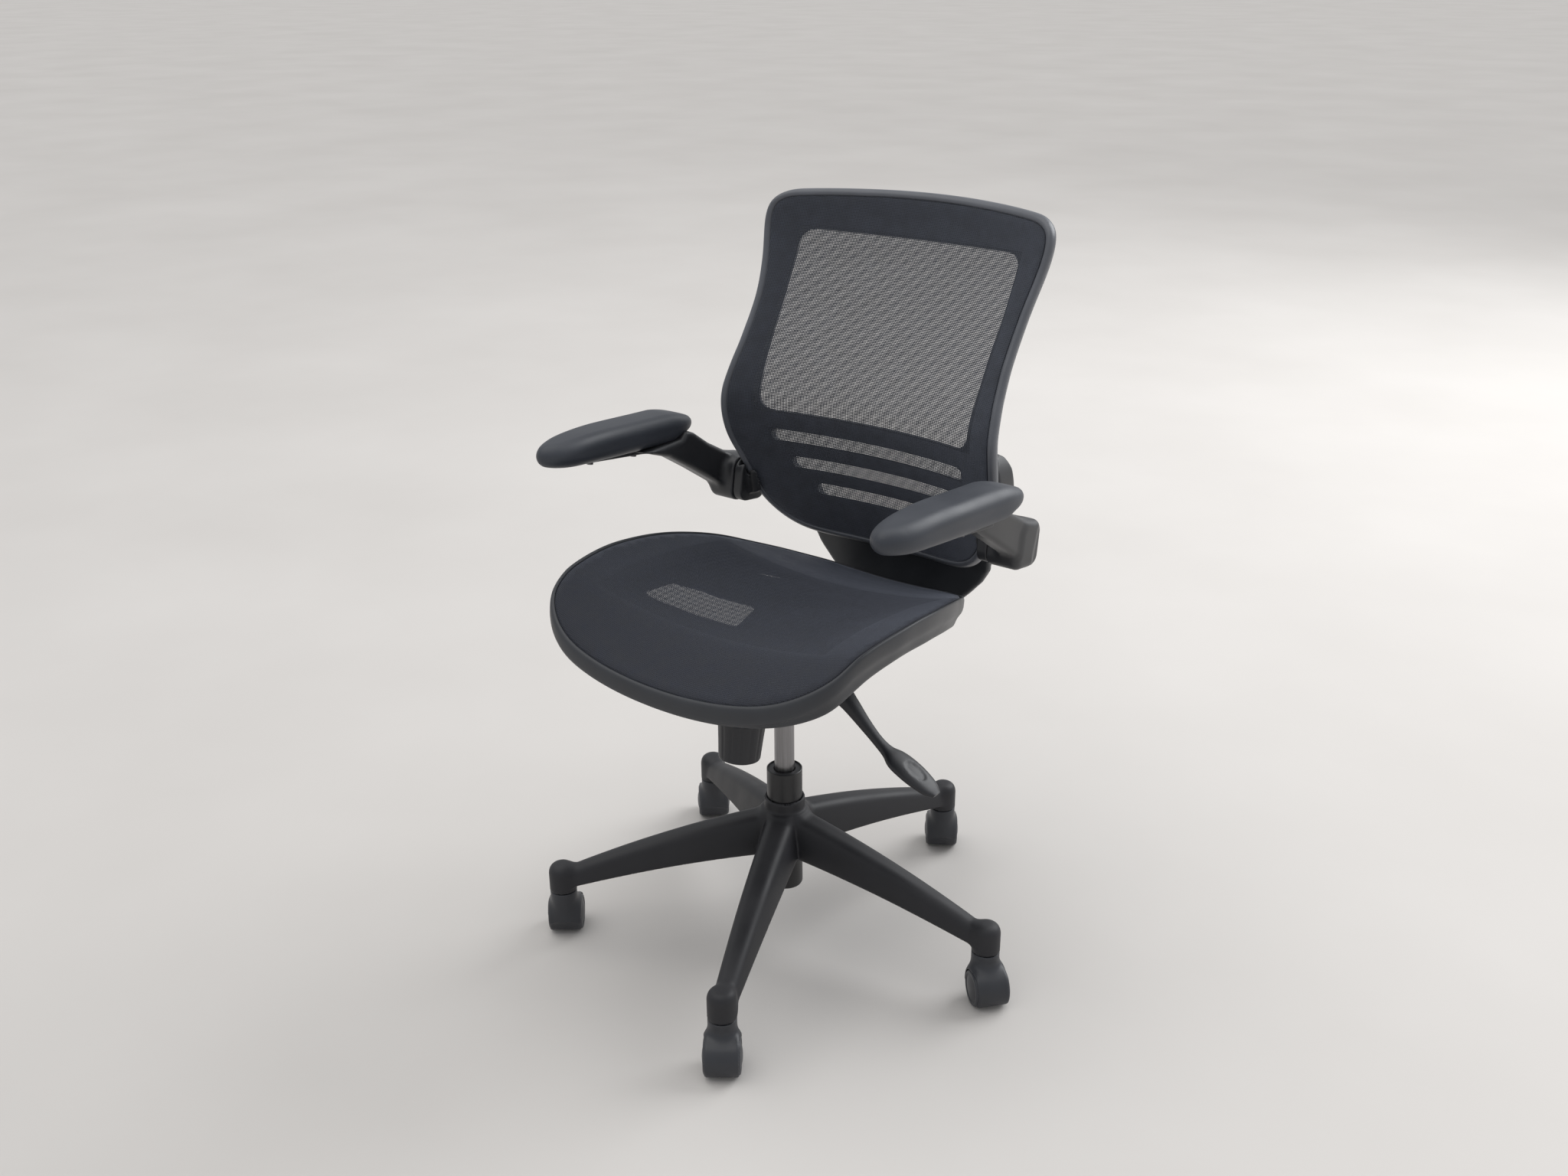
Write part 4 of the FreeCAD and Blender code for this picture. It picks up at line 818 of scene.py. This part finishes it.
def arm_field(x, y, z):
    block = rounded_prism(np.abs(y - 166.0) - 31.0, z - 624.0, 32.5, 17.0)
    hub = np.minimum(rounded_prism(block, x - 239.4, 23.2, 10.0), rounded_prism(block, x - 230.0, 13.8, 2.0))
    stem = rounded_prism(outline_field(y, z, STEM), x - 249.0, 15.5, 7.5)
    rail = rounded_prism(np.abs(x - 267.0) - 9.0 + 0.0 * y, y + 69.0, 107.0, 6.0)
    rail = smax(rail, np.abs(z - 682.0) - 9.4, 2.0)
    return smin(smin(hub, stem, 12.0), rail, 4.0)


STEM = [(-40, 680.5), (-22, 676), (15, 668), (68, 644), (134, 612), (172, 602), (180, 650), (150, 660), (100, 680), (66, 698), (56, 701), (46, 701), (38, 692)]
av, af_ = skin(arm_field, (213, -180, 588), (290, 201, 705), 1.7)

EAR = [(158, 606), (192, 606), (202, 640), (199, 690), (193, 716), (184, 731), (173, 736), (162, 732), (151, 716), (147, 690), (148, 640)]


def bracket_field(x, y, z):
    ear = rounded_prism(outline_field(y, z, EAR) + 4.0, x - 200.7, 14.7, 10.0) - 4.0
    disc = rounded_prism(rounded_prism(np.abs(y - 166.0) - 29.5, z - 624.0, 31.0, 17.0), x - 207.7, 7.6, 2.0)
    ear = smax(ear, (np.sqrt(((x - 186.0) / 30.0) ** 2 + (np.maximum(z - 684.0, 0.0) / 54.0) ** 2) - 1.0) * 26.0, 4.0)
    d = smin(np.maximum(ear, x - 215.4), disc, 5.0)
    room = np.maximum(np.abs(y - back_y(x, z) - 7.3) - 13.5, outline_field(x, z, BLOOP[::4]) - 0.9)
    return smax(d, -room, 1.5)


bv, bf_ = skin(bracket_field, (178, 128, 590), (222, 212, 742), 1.4)
for sgn, sd in ((1, "left"), (-1, "right")):
    mir = np.array([sgn, 1, 1])
    o = piece("pad_" + sd, lean(pv * mir), pf_, M_PAD, "arm_" + sd, ("arm_pad_" + sd,))
    piece("arm_moulding_" + sd, lean(av * mir), af_, M_ARM, "arm_" + sd, ("arm_frame_" + sd,))
    piece("bracket_moulding_" + sd, lean(bv * mir), bf_, M_ARM, "seat", ("arm_bracket_" + sd,))

soften("back_support", "support_moulding", M_BACK, "seat", 0.0022, 10)

# ---------------------------------------------------------------------------
# Five-legged base: hub with collar, ridged hollow legs with ribs, domed sockets.
# ---------------------------------------------------------------------------
L_TOP = smooth([0, 12, 34, 60, 80, 120, 165, 220, 280, 306, 330], [199, 196, 191.6, 186, 181.4, 171.5, 159, 141.9, 120.9, 111, 102])
L_LOW = smooth([0, 12, 34, 90, 165, 230, 306, 330], [138.5, 137, 134.8, 128, 116, 102.4, 84, 78])
L_WIDE = smooth([0, 12, 165, 306, 330], [61, 60, 49, 36, 34])
L_RIDGE = smooth([0, 12, 165, 306, 330], [35, 34, 28, 22, 20])


def leg_shape(u, v, z, wall, k):
    w, r = 0.5 * L_WIDE(u) - wall, 0.5 * L_RIDGE(u) - 0.7 * wall
    top, low = L_TOP(u) - wall, L_LOW(u)
    sh = low + 0.45 * (top - low)
    av_ = np.abs(v)
    n = np.sqrt((top - sh) ** 2 + (w - r) ** 2)
    slope = ((av_ - w) * (top - sh) + (z - sh) * (w - r)) / n
    d = smax(smax(av_ - w, slope, k), z - top, k)
    return smax(d, (low if wall == 0 else low - 20.0) - z, k * 0.6)


def base_field(x, y, z):
    r = np.sqrt(x * x + y * y)
    a = np.arctan2(y, x) - math.radians(220.6)
    a = (a + PI / 5) % (2 * PI / 5) - PI / 5
    u, v = r * np.cos(a), r * np.sin(a)
    leg = np.maximum(leg_shape(u, v, z, 0.0, 10.0), u - 318.0)
    rho = np.sqrt((u - 320.0) ** 2 + v * v)
    sock = smax(smax(rho - 19.3, z - 116.6, 16.0), 74.6 - z, 1.0)
    hub = smax(smax(r - 31.5, z - 196.0, 4.0), 122.0 - z, 3.0)
    collar = smax(r - 28.6, z - 216.0, 3.5)
    collar = np.maximum(collar, 150.0 - z)
    d = smin(smin(smin(leg, hub, 14.0), collar, 3.0), sock, 7.0)
    room = smax(leg_shape(u, v, z, 6.5, 10.0), np.maximum(38.0 - u, u - 294.0), 6.0)
    rib = np.minimum(np.abs(v) - 1.6, np.abs((u - 60.0 + 21.0) % 42.0 - 21.0) - 1.6)
    rib = np.maximum(rib, L_LOW(u) + 7.0 - z)
    d = smax(d, -np.maximum(room, -rib), 1.2)
    return smax(d, 25.3 - r, 1.0)


v, f = skin(base_field, (-345, -345, 72), (345, 345, 221), 2.5)
base_moulding = piece("base_moulding", plain(v), f, M_BASE, "base", ("base_star",))

# ---------------------------------------------------------------------------
# Tension knob: tapered cup with shallow grips.
# ---------------------------------------------------------------------------


def grips(a, z, r):
    if r < 20 or z < 316:
        return 0.0
    fade = min(1.0, (z - 316) / 6.0) * min(1.0, max(0.0, (368 - z) / 4.0))
    return -0.9 * fade * max(0.0, math.cos(a * 14)) ** 2


KN = [(5.2, 320.9), (5.2, 312.6), (7.0, 311.9), (20.5, 311.9), (24.9, 312.3), (27.3, 313.6), (28.4, 315.8), (28.6, 318.0), (29.0, 324.0), (30.0, 338.0), (31.0, 350.0), (32.0, 361.0),
      (32.4, 365.0), (32.4, 367.2), (31.9, 368.6), (30.9, 369.0), (29.7, 368.6), (29.3, 367.0), (27.6, 345.0), (26.0, 326.0), (25.3, 322.0), (23.0, 320.9), (5.2, 320.9)]
v, f = lathe(KN, 168, grips)
v[:, 1] += -86.0
piece("knob_moulding", lean(v), f, M_KNOB, "knob", ("tension_knob",), weld=1e-6, sharp=50)

# Tilt spring: coil with closed ends, its top seat with the housing and its foot in the knob.
turns = np.array([0.0, 0.9, 4.1, 5.0])
rise = smooth(turns, np.array([324.0, 328.4, 373.6, 378.0]))
vs, fs, seg, m = [], [], 14, 241
for r in range(m):
    q = 5.0 * r / (m - 1)
    a = 2 * PI * q
    wire = 2.1 * min(1.0, 0.55 + 2.0 * min(q, 5.0 - q))
    for k in range(seg):
        b = 2 * PI * k / seg
        rad = 16.5 + wire * math.cos(b)
        vs.append((rad * math.cos(a), -86.0 + rad * math.sin(a), float(rise(q)) + wire * math.sin(b)))
for r in range(m - 1):
    fs += strip(r * seg, (r + 1) * seg, seg)
fs.append(tuple(range(seg - 1, -1, -1)))
fs.append(tuple((m - 1) * seg + k for k in range(seg)))
coil = piece("tilt_coil", lean(np.array(vs)), fs, M_SPRING, None, ("tilt_spring",), sharp=60)
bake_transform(coil)

# ---------------------------------------------------------------------------
# Height lever handle: bent arm that widens to a paddle with an oval inset.
# ---------------------------------------------------------------------------
LP = np.array([(72, 0, 414, 8, 8), (86, -1, 413, 10, 12), (100, -3, 405.5, 11.5, 14.5), (116, -5, 394.5, 10, 12), (141, -7, 373.5, 7.4, 8.8), (164, -8, 355, 6.4, 7.8), (178, -8.5, 346, 6.8, 10.5),
               (190, -9, 340, 7.6, 18), (210, -9, 330.5, 8, 21), (231, -9, 320, 6.8, 19.5), (246, -9, 312, 5, 15), (254.5, -9, 307.5, 2.6, 8)], float)
tt = np.concatenate([[0], np.cumsum(np.linalg.norm(np.diff(LP[:, :3], axis=0), axis=1))])
fx = [smooth(tt, LP[:, k]) for k in range(5)]
ss = np.concatenate([np.linspace(0, tt[-2], 110, endpoint=False), tt[-2] + (tt[-1] - tt[-2]) * np.sin(np.linspace(0, PI / 2, 14))])
vs, fs, seg = [], [], 48
oval = 0.5 * (tt[8] + tt[9]) - 2.0
for s in ss:
    e = 0.5
    c = np.array([fx[0](s), fx[1](s), fx[2](s)])
    t = np.array([fx[0](min(s + e, tt[-1])) - fx[0](max(s - e, 0)), 0.0, fx[2](min(s + e, tt[-1])) - fx[2](max(s - e, 0))])
    t /= np.linalg.norm(t)
    up = np.array([-t[2], 0.0, t[0]])
    if up[2] < 0:
        up = -up
    hz, hw = float(fx[3](s)), float(fx[4](s))
    end = max(0.0, (s - tt[-2]) / (tt[-1] - tt[-2]))
    for k in range(seg):
        a = 2 * PI * k / seg
        ca, sa = math.cos(a), math.sin(a)
        cx_, sx_ = math.copysign(abs(ca) ** 0.8, ca), math.copysign(abs(sa) ** 0.8, sa)
        w, h = hw * cx_, hz * sx_
        if sa > 0:
            q = math.sqrt(((s - oval) / 17.5) ** 2 + (w / 10.0) ** 2)
            h -= 1.3 * float(step01((1.06 - q) / 0.16))
        vs.append(c + np.array([0, 1.0, 0]) * w + up * h)
m = len(ss)
for r in range(m - 1):
    fs += strip(r * seg, (r + 1) * seg, seg)
fs.append(tuple(range(seg - 1, -1, -1)))
fs.append(tuple((m - 1) * seg + k for k in range(seg)))
piece("lever_handle", plain(np.array(vs)), fs, M_KNOB, "lever", ("lever_paddle",), sharp=60)

# ---------------------------------------------------------------------------
# Casters: rounded hoods and dished wheels.
# ---------------------------------------------------------------------------
TRAIL = [128, 306, 320, 124, 132]
WH = [(3.1, 3.0), (22.6, 3.0), (24.2, 3.5), (24.9, 4.8), (25.0, 7.0), (25.0, 19.0), (24.8, 21.2), (24.1, 22.8), (23.0, 23.8), (21.6, 24.1), (20.6, 23.9), (20.0, 23.2), (19.2, 22.9),
      (17.0, 23.4), (13.0, 24.6), (8.0, 25.7), (4.0, 26.1), (0.0, 26.2)]
wv, wf = lathe(WH, 72)


def hood_field(x, y, z):
    rr = np.sqrt((x - 14.0) ** 2 + (z - 25.0) ** 2)
    barrel = rounded_prism(rr - 28.4, y, 23.4, 5.0)
    neck = smax(np.sqrt(x * x + y * y) - 19.0 + 0.0 * z, z - 73.8, 1.2)
    neck = np.maximum(neck, 30.0 - z)
    d = smin(barrel, neck, 13.0)
    wheels = np.maximum(rr - 25.7, 2.5 - np.abs(y))
    d = smax(d, -wheels, 0.8)
    d = smax(d, 9.0 - z, 1.0)
    return smax(d, 5.7 - np.sqrt(x * x + y * y) + 0.0 * z, 0.6)


hv, hf_ = skin(hood_field, (-24, -27, 5), (46, 27, 77), 1.1)
for k in range(5):
    ang = math.radians(220.6 + 72 * k)
    cx_, cy_ = 320 * math.cos(ang), 320 * math.sin(ang)
    t = math.radians(TRAIL[k])
    tag = "caster_%d" % (k + 1)
    hw = np.stack([cx_ + hv[:, 0] * math.cos(t) - hv[:, 1] * math.sin(t), cy_ + hv[:, 0] * math.sin(t) + hv[:, 1] * math.cos(t), hv[:, 2]], 1)
    piece(tag + "_cover", plain(hw), hf_, M_CAST, tag, (tag + "_hood",))
    for sd, s in (("left", 1.0), ("right", -1.0)):
        loc = np.stack([wv[:, 0] + 14.0, s * wv[:, 2], s * -wv[:, 1] + 25.0], 1)
        w = np.stack([cx_ + loc[:, 0] * math.cos(t) - loc[:, 1] * math.sin(t), cy_ + loc[:, 0] * math.sin(t) + loc[:, 1] * math.cos(t), loc[:, 2]], 1)
        nm = tag + "_wheel_" + sd
        piece(tag + "_tread_" + sd, plain(w), wf, M_WHEEL, nm, (nm,), weld=1e-6, sharp=50)

# ---------------------------------------------------------------------------
# Sheets' flat sizes.
# ---------------------------------------------------------------------------


def sheet_area(loop, surf, d):
    e = inset(loop, d)
    pts, tri = fill([e], inner_points(e, [], 12.0, 5.0))
    p = lean(surf(pts[:, 0], pts[:, 1], 0.0 * pts[:, 0]))
    t = np.array([f[:3] for f in tri])
    a, b, c = p[t[:, 0]], p[t[:, 1]], p[t[:, 2]]
    return float(np.linalg.norm(np.cross(b - a, c - a), axis=1).sum() / 2)


back_area, seat_area = sheet_area(BLOOP, back_surf, 10.9), sheet_area(SLOOP, seat_surf, 6.7)

# ---------------------------------------------------------------------------
# Pale floor and soft studio light.
# ---------------------------------------------------------------------------
fm, fnt, fp = new_mat("floor")
fco = node(fnt, "ShaderNodeTexCoord")
fno = node(fnt, "ShaderNodeTexNoise")
fno.inputs["Scale"].default_value = 1.3
fno.inputs["Detail"].default_value = 4.0
fnt.links.new(fco.outputs["Object"], fno.inputs["Vector"])
fnt.links.new(ramp(fnt, fno.outputs["Fac"], [(0.3, (0.60, 0.575, 0.55)), (0.7, (0.64, 0.615, 0.59))]), fp.inputs["Base Color"])
fp.inputs["Roughness"].default_value = 0.85
fp.inputs["Specular IOR Level"].default_value = 0.2
bm = bmesh.new()
bmesh.ops.create_circle(bm, cap_ends=True, segments=96, radius=120.0)
fme = bpy.data.meshes.new("floor")
bm.to_mesh(fme)
bm.free()
floor = bpy.data.objects.new("floor", fme)
fme.materials.append(fm)
scene.collection.objects.link(floor)

world = bpy.data.worlds.new("studio")
world.use_nodes = True
bg = world.node_tree.nodes["Background"]
bg.inputs["Color"].default_value = (0.95, 0.97, 1.0, 1)
bg.inputs["Strength"].default_value = 0.60
scene.world = world


def area_light(name, loc, target, size, power, colour):
    l = bpy.data.lights.new(name, "AREA")
    l.shape, l.size, l.energy, l.color = "DISK", size, power, colour
    o = bpy.data.objects.new(name, l)
    scene.collection.objects.link(o)
    o.location = loc
    o.rotation_euler = (Vector(target) - Vector(loc)).to_track_quat("-Z", "Y").to_euler()


sun = bpy.data.lights.new("soft_sky", "SUN")
sun.energy, sun.angle, sun.color = 1.1, math.radians(70), (1.0, 0.985, 0.96)
sun_o = bpy.data.objects.new("soft_sky", sun)
scene.collection.objects.link(sun_o)
sun_o.rotation_euler = Vector((0.25, 0.12, -1.0)).to_track_quat("-Z", "Y").to_euler()
area_light("rear_rim", (1.7, 4.2, 3.5), (0.1, 0.1, 0.8), 4.0, 180, (0.97, 0.985, 1.0))
scene.view_settings.view_transform = "Standard"
